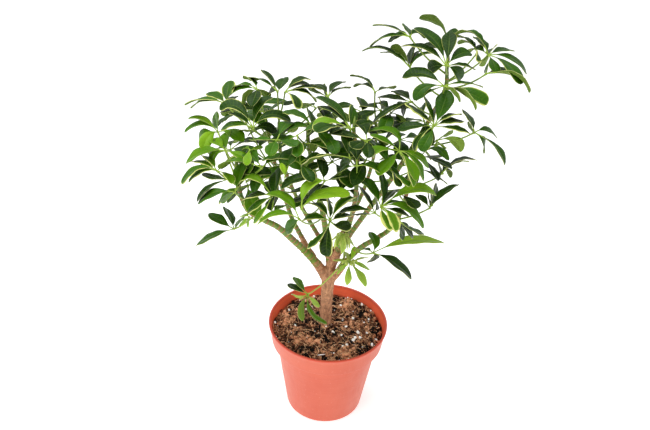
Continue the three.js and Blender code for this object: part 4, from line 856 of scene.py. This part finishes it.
class Value:
    """An output in the graph of a material. Sums of values become math nodes."""

    def __init__(self, look, socket):
        self.look = look
        self.socket = socket

    def __add__(self, other):
        return self.look.math("ADD", self, other)

    def __sub__(self, other):
        return self.look.math("SUBTRACT", self, other)

    def __mul__(self, other):
        return self.look.math("MULTIPLY", self, other)

    def range(self, low, high, to_low=0.0, to_high=1.0, kind="SMOOTHSTEP"):
        ends = {"From Min": low, "From Max": high, "To Min": to_low, "To Max": to_high}
        return self.look.node("MapRange", "Result", {"Value": self, **ends}, interpolation_type=kind)


class Look:
    """A procedural material, built node by node."""

    def __init__(self, name):
        self.material = bpy.data.materials.new(name)
        self.material.use_nodes = True
        self.tree = self.material.node_tree
        self.place = self.node("TexCoord", "Object", {})

    def fill(self, socket, value):
        if isinstance(value, Value):
            self.tree.links.new(value.socket, socket)
        else:
            socket.default_value = value

    def node(self, kind, output, inputs, **settings):
        node = self.tree.nodes.new("ShaderNode" + kind)
        for name, value in settings.items():
            setattr(node, name, value)
        for name, value in inputs.items():
            self.fill(node.inputs[name], value)
        return Value(self, node.outputs[output])

    def set(self, **values):
        for name, value in values.items():
            self.fill(self.tree.nodes["Principled BSDF"].inputs[name.replace("_", " ")], value)
        return self.material

    def mark(self, name):
        return self.node("Attribute", "Fac", {}, attribute_name=name)

    def stretched(self, stretch):
        if stretch is None:
            return self.place
        return self.node("Mapping", "Vector", {"Vector": self.place, "Scale": stretch})

    def noise(self, scale, detail=3.0, rough=0.55, stretch=None):
        inputs = {"Vector": self.stretched(stretch), "Scale": scale, "Detail": detail, "Roughness": rough}
        return self.node("TexNoise", "Fac", inputs)

    def cells(self, stretch):
        return self.node("TexVoronoi", "Distance", {"Vector": self.stretched(stretch), "Scale": 1.0})

    def math(self, kind, a, b=0.0, clamp=False):
        return self.node("Math", 0, {0: a, 1: b}, operation=kind, use_clamp=clamp)

    def mix(self, share, a, b):
        return self.node("Mix", 2, {"Factor": share, 6: a, 7: b}, data_type="RGBA")

    def ramp(self, value, *stops):
        colours = self.node("ValToRGB", "Color", {"Fac": value})
        steps = colours.socket.node.color_ramp.elements
        while len(steps) < len(stops):
            steps.new(0.5)
        for step, (at, colour) in zip(steps, stops):
            step.position = at
            step.color = colour
        return colours

    def bump(self, height, strength, distance):
        return self.node("Bump", "Normal", {"Strength": strength, "Distance": distance, "Height": height})


def colour(red, green, blue):
    """A display colour of 0 to 255 as linear light."""
    def light(part):
        part = part / 255
        return part / 12.92 if part <= 0.04045 else ((part + 0.055) / 1.055) ** 2.4
    return (light(red), light(green), light(blue), 1.0)


CREAM = colour(218, 222, 126)
PALE_YOUNG = colour(206, 220, 118)


def leaf_look():
    look = Look("leaf_blade")
    across = look.math("ABSOLUTE", look.mark("across"))
    along = look.mark("along")
    # The tone mark is the leaflet's own green together with painted light and shade.
    tone = look.mark("tone")
    cream = look.mark("cream")
    under = look.mark("under").range(0.35, 0.65)
    fine = look.noise(260, 4)
    shade = tone + (look.noise(28, 2) - 0.5) * 0.35
    shade = look.math("ADD", shade, (look.mark("chance") - 0.5) * 0.22, True)
    green = look.ramp(
        shade,
        (0.0, colour(18, 34, 6)),
        (0.3, colour(30, 64, 6)),
        (0.55, colour(56, 104, 8)),
        (0.8, colour(96, 142, 12)),
        (1.0, colour(150, 194, 40)),
    )
    green = look.mix(fine.range(0.35, 0.75, 0, 0.2), green, look.mix(0.4, green, colour(96, 136, 20)))
    lines = along * (look.mark("length") * 0.22) - across * 1.1
    veins = look.math("SINE", lines * (2 * math.pi))
    vein = veins.range(0.72, 1.0)
    green = look.mix(vein * 0.1, green, colour(116, 156, 36))
    young = tone.range(1.0, 1.4) * fine.range(0.2, 0.8, 0.8, 1.0)
    green = look.mix(young, green, PALE_YOUNG)
    midrib = across.range(0.035, 0.075, 1, 0) * along.range(0.3, 0.9, 0.36, 0.04)
    green = look.mix(midrib, green, colour(140, 170, 66))
    ragged = (look.noise(75, 3) - 0.5) * 1.1
    edge = look.math("MAXIMUM", across, along.range(0.86, 1.0) * 0.9)
    reach = edge + ragged * cream.range(0, 1, 0.1, 1.0)
    start = cream.range(0.0, 1.0, 0.98, 0.5, "LINEAR")
    margin = (reach - start).range(0.0, 0.09) * cream.range(0.0, 0.3, 0.6, 1.0)
    inner_margin = (reach - (start - 0.2)).range(0.0, 0.1, 0, 0.6) * cream.range(0.15, 0.5)
    top = look.mix(inner_margin, green, colour(124, 158, 60))
    top = look.mix(margin, top, CREAM)
    beneath = look.mix(tone.range(0, 1, 0.1, 0.7), colour(92, 118, 42), colour(142, 172, 62))
    beneath = look.mix(vein * 0.3, beneath, colour(130, 150, 74))
    beneath = look.mix(margin * 0.8, beneath, colour(220, 222, 170))
    beneath = look.mix(midrib * 0.7, beneath, colour(190, 204, 136))
    beneath = look.mix(young * 0.9, beneath, PALE_YOUNG)
    base = look.mix(under, top, beneath)
    base = look.mix(look.mark("stalk").range(0.1, 0.9), base, colour(154, 182, 70))
    rough = look.noise(120, 3).range(0.3, 0.7, 0.34, 0.46) + under * 0.3
    relief = veins.range(-1, 1) * 0.6 + look.noise(900, 2) * 0.25
    normal = look.bump(relief, 0.16, 0.0006)
    return look.set(Base_Color=base, Roughness=rough, Normal=normal, Specular_IOR_Level=0.14)


def worn_share(look, broad, share):
    """How far green skin has turned to bark: towards the fork, and in patches."""
    worn = (look.mark("woody") + (broad - 0.5) * 0.7).range(0.25, 0.7)
    return look.math("MAXIMUM", worn, look.noise(75, 4).range(0.58, 0.64) * share)


def stem_look():
    look = Look("stem_skin")
    stem = look.mark("stem")
    grain = look.noise(1.0, 4, 0.6, (420, 420, 90))
    broad = look.noise(60, 3)
    # The petioles take the tone of their leaf, with its painted light and shade.
    petiole = look.ramp(
        look.mark("tone") + (broad - 0.5) * 0.4,
        (0.0, colour(118, 144, 50)),
        (0.5, colour(150, 178, 66)),
        (1.0, colour(188, 208, 96)),
    )
    green = look.mix(grain.range(0.3, 0.75), colour(84, 114, 30), colour(134, 156, 56))
    worn = worn_share(look, broad, stem * 0.75)
    bark = look.mix(grain.range(0.25, 0.8), colour(112, 78, 56), colour(190, 146, 112))
    spots = look.cells((700, 700, 320)).range(0.05, 0.22, 1, 0)
    bark = look.mix(spots * 0.5, bark, colour(206, 170, 136))
    base = look.mix(worn, look.mix(stem, petiole, green), bark)
    base = look.mix(look.mark("scar").range(0.2, 0.6), base, colour(172, 112, 74))
    rough = worn.range(0, 1, 0.42, 0.8, "LINEAR")
    relief = (grain + spots * 0.4) * worn.range(0, 1, 0.25, 1.0, "LINEAR")
    return look.set(Base_Color=base, Roughness=rough, Normal=look.bump(relief, 0.5, 0.0008))


def bark_look():
    look = Look("bark")
    grain = look.noise(1.0, 5, 0.65, (300, 300, 95))
    flakes = look.noise(1.0, 3, 0.6, (150, 150, 420))
    bark = look.ramp(
        grain,
        (0.24, colour(76, 48, 32)),
        (0.4, colour(160, 112, 80)),
        (0.6, colour(214, 158, 118)),
        (0.82, colour(240, 198, 158)),
    )
    bark = look.mix(flakes.range(0.5, 0.72, 0, 0.5), bark, colour(128, 90, 66))
    spots = look.cells((260, 260, 200)).range(0.12, 0.24, 1, 0)
    bark = look.mix(spots * 0.6, bark, colour(96, 64, 44))
    green = look.mix(grain.range(0.3, 0.75), colour(84, 114, 30), colour(136, 158, 58))
    base = look.mix(worn_share(look, look.noise(45, 3), 0.75), green, bark)
    base = look.mix(look.mark("scar").range(0.2, 0.6), base, colour(172, 110, 74))
    relief = grain + flakes * 0.5 - spots * 0.3
    rough = grain.range(0.2, 0.8, 0.72, 0.9)
    return look.set(Base_Color=base, Roughness=rough, Normal=look.bump(relief, 0.7, 0.0012))


def mix_look(name, dark, middle, light):
    look = Look(name)
    coarse = look.noise(260, 5, 0.7)
    strands = look.noise(1.0, 4, 0.6, (900, 240, 500))
    tone = look.math("ADD", coarse * 0.6 + strands * 0.4, (look.mark("chance") - 0.5) * 0.5, True)
    base = look.ramp(tone, (0.42, colour(*dark)), (0.53, colour(*middle)), (0.66, colour(*light)))
    rough = coarse.range(0.3, 0.7, 0.8, 1.0)
    normal = look.bump(coarse + strands * 0.6, 0.9, 0.0015)
    return look.set(Base_Color=base, Roughness=rough, Normal=normal, Specular_IOR_Level=0.2)


def glowing_grain_look():
    look = Look("white_grains")
    rough = look.noise(700, 4)
    base = look.mix(rough.range(0.35, 0.7), colour(236, 232, 224), colour(255, 255, 252))
    look.set(Base_Color=base, Roughness=0.85, Normal=look.bump(rough, 0.4, 0.0005))
    # Painted light: the grains glow a little, so they stay white in the shade under the crown.
    return look.set(Emission_Color=(1, 0.98, 0.95, 1), Emission_Strength=0.22)


def pot_look():
    look = Look("pot_plastic")
    lip_shade_band = look.node("SeparateXYZ", "Z", {0: look.place}).range(0.1476, 0.1484)
    rings = look.noise(1.0, 2, 0.5, (1.5, 1.5, 260))
    scuffs = look.noise(1.0, 4, 0.7, (120, 120, 30))
    dust = look.noise(420, 2).range(0.66, 0.74)
    outward = look.node("NewGeometry", "Normal", {})
    facing_for_painted_light = look.node("VectorMath", "Value", {0: outward, 1: look.place}, operation="DOT_PRODUCT")
    base = look.mix(look.noise(14, 2).range(0.3, 0.7), colour(207, 92, 64), colour(213, 101, 73))
    # Painted light: the inside of the pot is painted a brighter red, standing in for light on its shaded
    # inner wall.
    base = look.mix(facing_for_painted_light.range(-0.02, 0.0, 1, 0), base, colour(255, 112, 74))
    base = look.mix(rings.range(0.35, 0.7, 0, 0.16), base, colour(192, 78, 52))
    base = look.mix(dust * 0.22, base, colour(240, 190, 165))
    # Painted shade: the top of the rim is painted a darker, redder band, standing in for the shade along
    # the lip's edge.
    base = look.mix(lip_shade_band * 0.7, base, colour(214, 70, 44))
    rough = scuffs.range(0.3, 0.75, 0.36, 0.5)
    relief = look.noise(1500, 2) + rings * 0.6
    return look.set(Base_Color=base, Roughness=rough, Normal=look.bump(relief, 0.08, 0.0004))


def floor_look():
    look = Look("pale_floor")
    base = look.mix(look.noise(40, 2).range(0.3, 0.7), (0.93, 0.93, 0.93, 1), (0.95, 0.95, 0.95, 1))
    return look.set(Base_Color=base, Roughness=0.9, Emission_Color=(1, 1, 1, 1), Emission_Strength=0.5)



# Pot

SHOULDER = POT_HEIGHT - COLLAR_HEIGHT
NECK = BODY_TOP_RADIUS - 2.4
INNER_RIM = RIM_RADIUS - LIP - WALL
INNER_COLLAR = COLLAR_FOOT_RADIUS - WALL - 0.6
INNER_BASE = BASE_RADIUS - WALL - 1
FOOT_RING = 0.7
POT_CENTRE = 6
POT_SIDES = 144
POT_SPAN = 7
DRAIN_SIDES = 28
SHARP_EDGE = math.radians(38)


def rounded(corners):
    """An outline with each corner that has a radius turned into a short arc."""
    outline = []
    for k, (x, z, radius) in enumerate(corners):
        here = np.array([x, z], float)
        if radius == 0:
            outline.append(here)
            continue
        start = here + unit(np.array(corners[k - 1][:2]) - here) * radius
        end = here + unit(np.array(corners[k + 1][:2]) - here) * radius
        outline.extend(bezier(start, here, end, [0, 0.25, 0.5, 0.75, 1]))
    return outline


def finer(outline, step):
    """The same outline with no span longer than a step."""
    places = [outline[0]]
    for a, b in zip(outline, outline[1:]):
        count = max(1, math.ceil(np.linalg.norm(b - a) / step))
        places.extend(a + (b - a) * (i + 1) / count for i in range(count))
    return np.array(places)


def turned(outline, sides):
    turns = np.arange(sides) * 2 * math.pi / sides
    return np.stack([
        outline[:, :1] * np.cos(turns),
        outline[:, :1] * np.sin(turns),
        np.repeat(outline[:, 1:], sides, axis=1),
    ], axis=-1)


def with_modifier(piece, kind, **values):
    """Applies one modifier to a piece's mesh."""
    modifier = piece.modifiers.new(kind.lower(), kind)
    for name, value in values.items():
        setattr(modifier, name, value)
    shown = piece.evaluated_get(bpy.context.evaluated_depsgraph_get())
    mesh = bpy.data.meshes.new_from_object(shown)
    piece.modifiers.clear()
    piece.data = mesh
    return mesh


def make_pot():
    outline = rounded([
        (POT_CENTRE, FOOT_RING, 0),
        (BASE_RADIUS - 9, FOOT_RING, 0.5),
        (BASE_RADIUS - 8, 0, 0.3),
        (BASE_RADIUS - 0.4, 0, 2.4),
        (NECK, SHOULDER, 0.8),
        (COLLAR_FOOT_RADIUS - 0.5, SHOULDER + 0.7, 1.0),
        (RIM_RADIUS - LIP, POT_HEIGHT - 3.6, 0.8),
        (RIM_RADIUS, POT_HEIGHT - 2.6, 0.5),
        (RIM_RADIUS, POT_HEIGHT, 0.9),
        (INNER_RIM, POT_HEIGHT, 0.9),
        (INNER_RIM - 0.2, POT_HEIGHT - 2, 0.6),
        (INNER_COLLAR, SHOULDER + 4, 1.2),
        (NECK - WALL, SHOULDER - 1, 1.0),
        (INNER_BASE, FLOOR, 2.0),
        (POT_CENTRE, FLOOR, 0),
    ])
    skin = Skin()
    skin.tube(turned(finer(outline, POT_SPAN), POT_SIDES))
    pot = skin.piece("pot_moulded", [], "pot_plastic")
    holes = Skin()
    for i in range(DRAINS):
        turn = 2 * math.pi * i / DRAINS
        centre = vec(DRAIN_RING * math.cos(turn), DRAIN_RING * math.sin(turn), 0)
        line = centre + np.array([[0, 0, -3], [0, 0, 6]])
        holes.tube(round_rings(line, np.full(2, DRAIN_RADIUS), DRAIN_SIDES))
    cutter = holes.piece("drain_cutter", [], "pot_plastic")
    with_modifier(pot, "BOOLEAN", operation="DIFFERENCE", object=cutter, solver="EXACT")
    bpy.data.objects.remove(cutter)
    smooth_faces(pot.data)
    pot.data.set_sharp_from_angle(angle=SHARP_EDGE)
    pot.data.materials.append(pot_look())
    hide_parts("pot")


def inside_radius(height):
    """The inner radius of the pot at a height."""
    if height < SHOULDER - 1:
        return between((INNER_BASE, NECK - WALL), (height - FLOOR) / (SHOULDER - 1 - FLOOR))
    return between((INNER_COLLAR, INNER_RIM), max(0, (height - SHOULDER - 4) / (COLLAR_HEIGHT - 4.3)))


# Potting mix

# Clods seen in the mix: pixel, half-width and rise in mm.
CLODS_SEEN = [
    (286, 318, 9, 4.2), (301, 334, 12, 4.0), (349, 300, 8, 3.0), (345, 351, 11, 3.2), (366, 318, 8, 2.4),
]
CLODS = [(seen_at_height(clod[:2], SOIL_TOP + 2), *clod[2:]) for clod in CLODS_SEEN]
SOIL_EDGE = inside_radius(SOIL_TOP) - 0.5
SURFACE_RINGS = 84
SURFACE_SIDES = 210
CRUMBS = 820
TINY_GRAINS = 60
FIBRES = 1100

# How far lumps are squashed and sunk, as shares of their size, and how knobbly they are.
CRUMB = {"squash": 0.75, "sink": 0.45, "rough": 0.7}
GRAIN = {"squash": 0.85, "sink": 0.2, "rough": 0.5}
TINY_GRAIN = {"squash": 0.9, "sink": 0.2, "rough": 0.5}
GRAIN_SCALE = 1.15

# Gaps between the mix and the wall of the pot, by height.
WALL_GAPS = ((60, 0.9), (SHOULDER - 2, 0.9), (SHOULDER + 5, 0.7))
FIBRE_TAPER = np.array([0.4, 0.8, 1, 1, 1, 1, 0.9, 0.7, 0.35])
PEAT = ((18, 10, 6), (128, 81, 56), (250, 184, 140))
FIBRE = ((44, 24, 16), (162, 102, 70), (255, 204, 160))
FIBRE_SIDES = 5
SLIVER_SEEN = ((317.5, 355.5), (325, 354.6))
SLIVER_RADII = [0.3, 0.6, 0.7, 0.7, 0.65, 0.55, 0.25]


def octaves(x, y, scale, count, seed):
    return noise.fractal(Vector((x * scale, y * scale, seed)), 0.7, 2.1, count)


def clod_rise(x, y, spread=1.0):
    total = 0.0
    for centre, width, rise in CLODS:
        away = ((x - centre[0]) ** 2 + (y - centre[1]) ** 2) / (spread * width) ** 2
        total += rise * math.exp(-away)
    return total


def soil_height(x, y):
    waves = math.sin(x * 0.061 + 1.1) * math.cos(y * 0.053 - 0.4) + 0.4 * math.sin(x * 0.08 - y * 0.07)
    height = SOIL_TOP + SOIL_BUMP * waves + clod_rise(x, y)
    height += 2.0 * octaves(x, y, 0.055, 3, 2.0) + 1.5 * octaves(x, y, 0.21, 4, 7.0)
    return height - 2.2 * max(0, (math.hypot(x, y) / SOIL_EDGE - 0.93) / 0.07)


def soil_tone(x, y):
    tone = 0.44 + 0.5 * octaves(x, y, 0.05, 3, 11.0) + 0.3 * octaves(x, y, 0.21, 4, 7.0)
    return min(1, max(0, tone + 0.06 * clod_rise(x, y, 1.2)))


def lump_faces():
    """A ball of 42 corners: an icosahedron with each face cut in four."""
    g = (1 + math.sqrt(5)) / 2
    corners = [unit(np.roll([0, a, b * g], k)) for k in range(3) for a in (-1, 1) for b in (-1, 1)]
    middles = {}

    def middle(a, b):
        key = (min(a, b), max(a, b))
        if key not in middles:
            middles[key] = len(corners)
            corners.append(unit(corners[a] + corners[b]))
        return middles[key]

    faces = []
    for a, b, c in combinations(range(12), 3):
        p, q, r = corners[a], corners[b], corners[c]
        if max(np.linalg.norm(p - q), np.linalg.norm(q - r), np.linalg.norm(r - p)) > 1.1:
            continue
        if np.cross(p, q) @ r < 0:
            b, c = c, b
        ab, bc, ca = middle(a, b), middle(b, c), middle(c, a)
        faces += [(a, ab, ca), (b, bc, ab), (c, ca, bc), (ab, bc, ca)]
    return np.array(corners), faces


BALL, BALL_FACES = lump_faces()


def add_lump(skin, draw, spot, size, squash, sink, rough):
    x, y = spot
    shift = Vector((97 * draw(), 31 * draw(), 53 * draw()))
    scale = np.array([1 + 0.5 * draw(), 1, 0.7 + 0.4 * draw()])
    bumps = np.array([noise.noise(Vector(p) * 1.6 + shift) for p in BALL])
    spin = Matrix.Identity(3)
    for axis in "XYZ":
        spin = spin @ Matrix.Rotation(6.3 * draw(), 3, axis)
    ball = BALL * scale * (1 + rough * bumps[:, None]) @ np.array(spin).T
    ball = ball * size * np.array([1, 1, squash])
    places = ball + vec(x, y, soil_height(x, y) + size * squash * (1 - sink))
    reach = np.hypot(places[:, 0], places[:, 1])
    places[:, :2] *= np.minimum(1, SOIL_EDGE / np.maximum(reach, 1e-6))[:, None]
    skin.add(places, BALL_FACES, {"chance": min(1, max(0, soil_tone(x, y) + 0.5 * (draw() - 0.5)))})


def random_spot(draw, inset):
    reach = (SOIL_EDGE - inset) * math.sqrt(draw())
    turn = 2 * math.pi * draw()
    return reach * math.cos(turn), reach * math.sin(turn)


def make_mix():
    turns = np.arange(SURFACE_SIDES) * 2 * math.pi / SURFACE_SIDES
    surface = []
    tones = [[0.3] * SURFACE_SIDES] * 4
    for k in range(SURFACE_RINGS, 0, -1):
        reach = SOIL_EDGE * k / SURFACE_RINGS
        ring = [(reach * math.cos(a), reach * math.sin(a)) for a in turns]
        surface.append([(x, y, soil_height(x, y)) for x, y in ring])
        tones.append([soil_tone(x, y) for x, y in ring])
    wall = [(inside_radius(FLOOR) - 1, FLOOR + 0.4)]
    wall += [(inside_radius(height) - gap, height) for height, gap in WALL_GAPS]
    ground = Skin("chance")
    ground.tube(np.concatenate([turned(np.array(wall), SURFACE_SIDES), surface]), chance=np.array(tones))
    peat = mix_look("potting_mix", *PEAT)
    piece = ground.piece("mix_surface", [peat], "potting_mix")
    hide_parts("soil")
    draw = seeded(MIX_SEED)
    crumbs = Skin("chance")
    for _ in range(CRUMBS):
        add_lump(crumbs, draw, random_spot(draw, 2), 0.7 + 2.4 * draw() ** 2.2, **CRUMB)
    crumbs.piece("mix_crumbs", [peat], "potting_mix")
    grains = Skin("chance")
    for column, row, size in GRAINS:
        spot = seen_at_height((column, row), SOIL_TOP + 2)[:2]
        spot *= min(1, (SOIL_EDGE - 2.5) / math.hypot(*spot))
        add_lump(grains, draw, spot, GRAIN_SCALE * size, **GRAIN)
    for _ in range(TINY_GRAINS):
        add_lump(grains, draw, random_spot(draw, 3), 0.35 + 0.45 * draw(), **TINY_GRAIN)
    grains.piece("mix_grains", [glowing_grain_look()], "potting_mix")
    make_fibres(draw)


def make_fibres(draw):
    fibres = Skin("chance")
    for _ in range(FIBRES):
        spot = np.array(random_spot(draw, 6))
        way = 2 * math.pi * draw()
        curl = (draw() - 0.5) * 0.5
        length = 5 + 17 * draw() ** 1.5
        radius = 0.22 + 0.5 * draw() ** 2
        lift = 0.3 + 3.2 * draw() ** 2
        line = []
        steps = len(FIBRE_TAPER)
        for k in range(steps):
            way += curl + 0.35 * (draw() - 0.5)
            arch = math.sin(math.pi * k / (steps - 1)) * lift
            line.append(vec(*spot, soil_height(*spot) + radius * 0.6 + arch))
            spot = spot + length / steps * np.array([math.cos(way), math.sin(way)])
            spot = spot * min(1, (SOIL_EDGE - 1) / math.hypot(*spot))
        rings = round_rings(np.array(line), radius * FIBRE_TAPER, FIBRE_SIDES)
        fibres.tube(rings, chance=0.35 + 0.65 * draw())
    fibres.piece("mix_fibres", [mix_look("fibres", *FIBRE)], "potting_mix")
    sliver = Skin("chance")
    ends = [seen_at_height(pixel, SOIL_TOP + 2.5) for pixel in SLIVER_SEEN]
    line = np.linspace(ends[0], ends[1], len(SLIVER_RADII)) + vec(0, 0, 0.6)
    sliver.tube(round_rings(line, SLIVER_RADII, 8), chance=0.5)
    sliver.piece("mix_sliver", [glowing_grain_look()], "potting_mix")


# Trunk

TRUNK_FOOT_SEEN = (325.5, 323)
TRUNK_ROUTE = [(326.5, 300, 8), (328, 282, 7), (329, 274, 6), (329.5, 267, 6)]
TRUNK_RUN = 50
TRUNK_SIDES = 32
LIMB_SIDES = 24
BARK_VOXEL = 0.0008
RING_RISE = 0.4


def make_trunk(curves):
    foot = seen_at_height(TRUNK_FOOT_SEEN, SOIL_TOP)
    trunk_curve = Spline([vec(foot[0], foot[1], TRUNK_FOOT), foot, *seen_route(TRUNK_ROUTE)])
    rough = Skin()
    shares = np.linspace(0, 1, 60)
    line = trunk_curve.line(shares)
    radii = np.interp(shares, np.linspace(0, 1, len(TRUNK_RADII)), TRUNK_RADII)
    rough.tube(round_rings(line, radii, TRUNK_SIDES))
    marks = [(place, TRUNK_RUN * (share - 1), None) for place, share in zip(line, shares)]
    for i, (shoot, curve) in enumerate(zip(SHOOTS, curves)):
        shares = np.linspace(0, shoot["woody"], 50)
        line = curve.line(shares)
        rough.tube(round_rings(line, stem_radius(shoot, shares), LIMB_SIDES))
        rings = ring_places(RING_SEED + i, curve.length())
        marks.extend((place, length, rings) for place, length in zip(line, lengths_along(line)))
    piece = rough.piece("trunk_bark", [], "bark")
    with_modifier(piece, "REMESH", mode="VOXEL", voxel_size=BARK_VOXEL, adaptivity=0.0)
    mesh = with_modifier(piece, "SMOOTH", factor=0.5, iterations=7)
    add_bark(mesh, marks)
    smooth_faces(mesh)
    mesh.update()
    mesh.materials.append(bark_look())
    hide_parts("trunk")


def add_bark(mesh, marks):
    """Raises bark and ring marks on the trunk; marks hold a place, its distance from the fork and rings."""
    tree = near_tree([place for place, _, _ in marks])
    count = len(mesh.vertices)
    places = np.empty(count * 3)
    ways = np.empty(count * 3)
    mesh.vertices.foreach_get("co", places)
    mesh.vertex_normals.foreach_get("vector", ways)
    places = places.reshape(-1, 3) * 1000
    ways = ways.reshape(-1, 3)
    woody = np.empty(count)
    scar = np.zeros(count)
    for k, place in enumerate(places):
        _, distance, rings = marks[tree.find(place)[1]]
        woody[k] = smooth_step(46, 24, distance)
        lift = 0.0
        if rings is not None:
            ring = ring_mark(np.array([distance]), rings)[0]
            lift = RING_RISE * ring
            scar[k] = ring * smooth_step(6, 20, distance)
        coarse = noise.fractal(Vector(place) * 0.09, 0.8, 2.2, 3)
        long_grain = noise.noise(Vector(place * (0.9, 0.9, 0.22)))
        fine = noise.noise(Vector(place * (0.5, 0.5, 1.3)))
        bark = 0.55 * coarse + 0.28 * long_grain + 0.16 * fine
        places[k] += ways[k] * (lift + bark * (0.35 + 0.65 * woody[k]))
    mesh.vertices.foreach_set("co", (places / 1000).ravel())
    hold_mark(mesh, "woody", woody)
    hold_mark(mesh, "scar", scar)


# Shoots

LEAFY_MARKS = (
    "across", "along", "under", "stalk", "stem", "woody", "scar", "chance", "tone", "cream", "length",
)


def leaf_tints_and_painted_light(shoot, row, hub, draw):
    # Painted light: leaves low at the front are made lighter, as if lit; the shoot's tone holds painted
    # shade for the back of the crown.
    lower = smooth_step(420, 300, hub[2])
    front = smooth_step(-20, -90, hub[1])
    tone = shoot["tone"] + 0.2 * lower * front + 0.16 * (draw() - 0.5)
    cream = 0.09 + 0.32 * draw() ** 8
    return tone if row["tone"] is None else row["tone"], cream


def make_shoots(curves):
    blade = leaf_look()
    stem = stem_look()
    for i, (shoot, curve) in enumerate(zip(SHOOTS, curves)):
        corners = near_tree([v.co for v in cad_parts[shoot["name"]].data.vertices])
        skin = Skin(*LEAFY_MARKS)
        draw = seeded(TINT_SEED + i)
        add_stem(skin, shoot, curve, RING_SEED + i)
        plans = []
        for k, row in enumerate(shoot["leaves"]):
            plan = find_leaf(shoot, row, LEAF_SEED * (i + 1) + k, corners)
            plan["foot"] = petiole_foot(shoot["woody"], curve, plan["hub"])
            tone, cream = leaf_tints_and_painted_light(shoot, row, plan["hub"], draw)
            add_petiole(skin, plan, find_sway(corners, plan), tone, draw())
            plans.append((plan, row, tone, cream))
        stem_faces = len(skin.faces)
        for plan, row, tone, cream in plans:
            for leaflet in plan["leaflets"]:
                if leaflet.get("kept"):
                    # The tone of each leaflet carries painted light and shade along with its own green.
                    own_tone_and_painted_light = tone + 0.12 * (draw() - 0.5)
                    own_cream = min(1, cream * (0.4 + 1.2 * draw()))
                    own_tone_and_painted_light = row["tones"].get(leaflet["place"], own_tone_and_painted_light)
                    own_cream = row["creams"].get(leaflet["place"], own_cream)
                    add_leaflet(skin, leaflet, draw, plan["size"], own_tone_and_painted_light, own_cream)
            if row["bud"]:
                add_bud(skin, plan["hub"], draw, *row["bud"])
        slot = "young_leaf" if shoot["name"] == "shoot_young" else "leaf"
        piece = skin.piece(shoot["name"] + "_leafy", [stem, blade], slot)
        which = np.ones(len(piece.data.polygons), np.int32)
        which[:stem_faces] = 0
        piece.data.polygons.foreach_set("material_index", which)
        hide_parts(shoot["name"])


# Stage

SENSOR_WIDTH = 36
FLOOR_REACH = 8.0

# Soft lights: name, place, aim, size in m and power in W.
LIGHTS = [
    ("overhead", (-0.5, 0.3, 1.9), (0, 0, 0.35), 1.6, 20),
    ("front_left", (-1.5, -1.5, 1.2), (0, 0, 0.3), 1.4, 16),
    ("front_right", (1.6, -1.3, 1.0), (0, 0, 0.3), 1.4, 8),
]


def make_camera():
    data = bpy.data.cameras.new("camera")
    data.sensor_fit = "HORIZONTAL"
    data.sensor_width = SENSOR_WIDTH
    data.lens = SENSOR_WIDTH * VIEW_FOCAL / PICTURE[0]
    data.clip_start = 0.01
    data.clip_end = 50
    camera = bpy.data.objects.new("camera", data)
    turn = Matrix((VIEW_RIGHT, VIEW_UP, -VIEW_FORWARD)).transposed().to_4x4()
    camera.matrix_world = Matrix.Translation(Vector(VIEW_EYE / 1000)) @ turn
    bpy.context.scene.collection.objects.link(camera)
    bpy.context.scene.camera = camera


def make_light(name, place, aim, size, power):
    data = bpy.data.lights.new(name, "AREA")
    data.shape = "DISK"
    data.size = size
    data.energy = power
    light = bpy.data.objects.new(name, data)
    light.location = place
    light.rotation_euler = (Vector(aim) - Vector(place)).to_track_quat("-Z", "Y").to_euler()
    bpy.context.scene.collection.objects.link(light)


def make_stage():
    mesh = bpy.data.meshes.new("floor")
    ways = [(-1, -1), (1, -1), (1, 1), (-1, 1)]
    mesh.from_pydata([(FLOOR_REACH * x, FLOOR_REACH * y, 0) for x, y in ways], [], [(0, 1, 2, 3)])
    floor = bpy.data.objects.new("floor", mesh)
    bpy.context.scene.collection.objects.link(floor)
    mesh.materials.append(floor_look())
    world = bpy.data.worlds.new("studio")
    world.use_nodes = True
    back = world.node_tree.nodes["Background"]
    back.inputs["Color"].default_value = (1, 1, 1, 1)
    back.inputs["Strength"].default_value = 0.55
    bpy.context.scene.world = world
    for light in LIGHTS:
        make_light(*light)
    view = bpy.context.scene.view_settings
    view.view_transform = "Standard"
    view.look = "None"
    view.exposure = 0.0
    view.gamma = 1.0


def seen_route(route):
    return [seen_at_depth((column, row), depth) for column, row, depth in route]


make_camera()
make_stage()
shoot_curves = [Spline(seen_route(shoot["route"])) for shoot in SHOOTS]
make_pot()
make_mix()
make_trunk(shoot_curves)
make_shoots(shoot_curves)
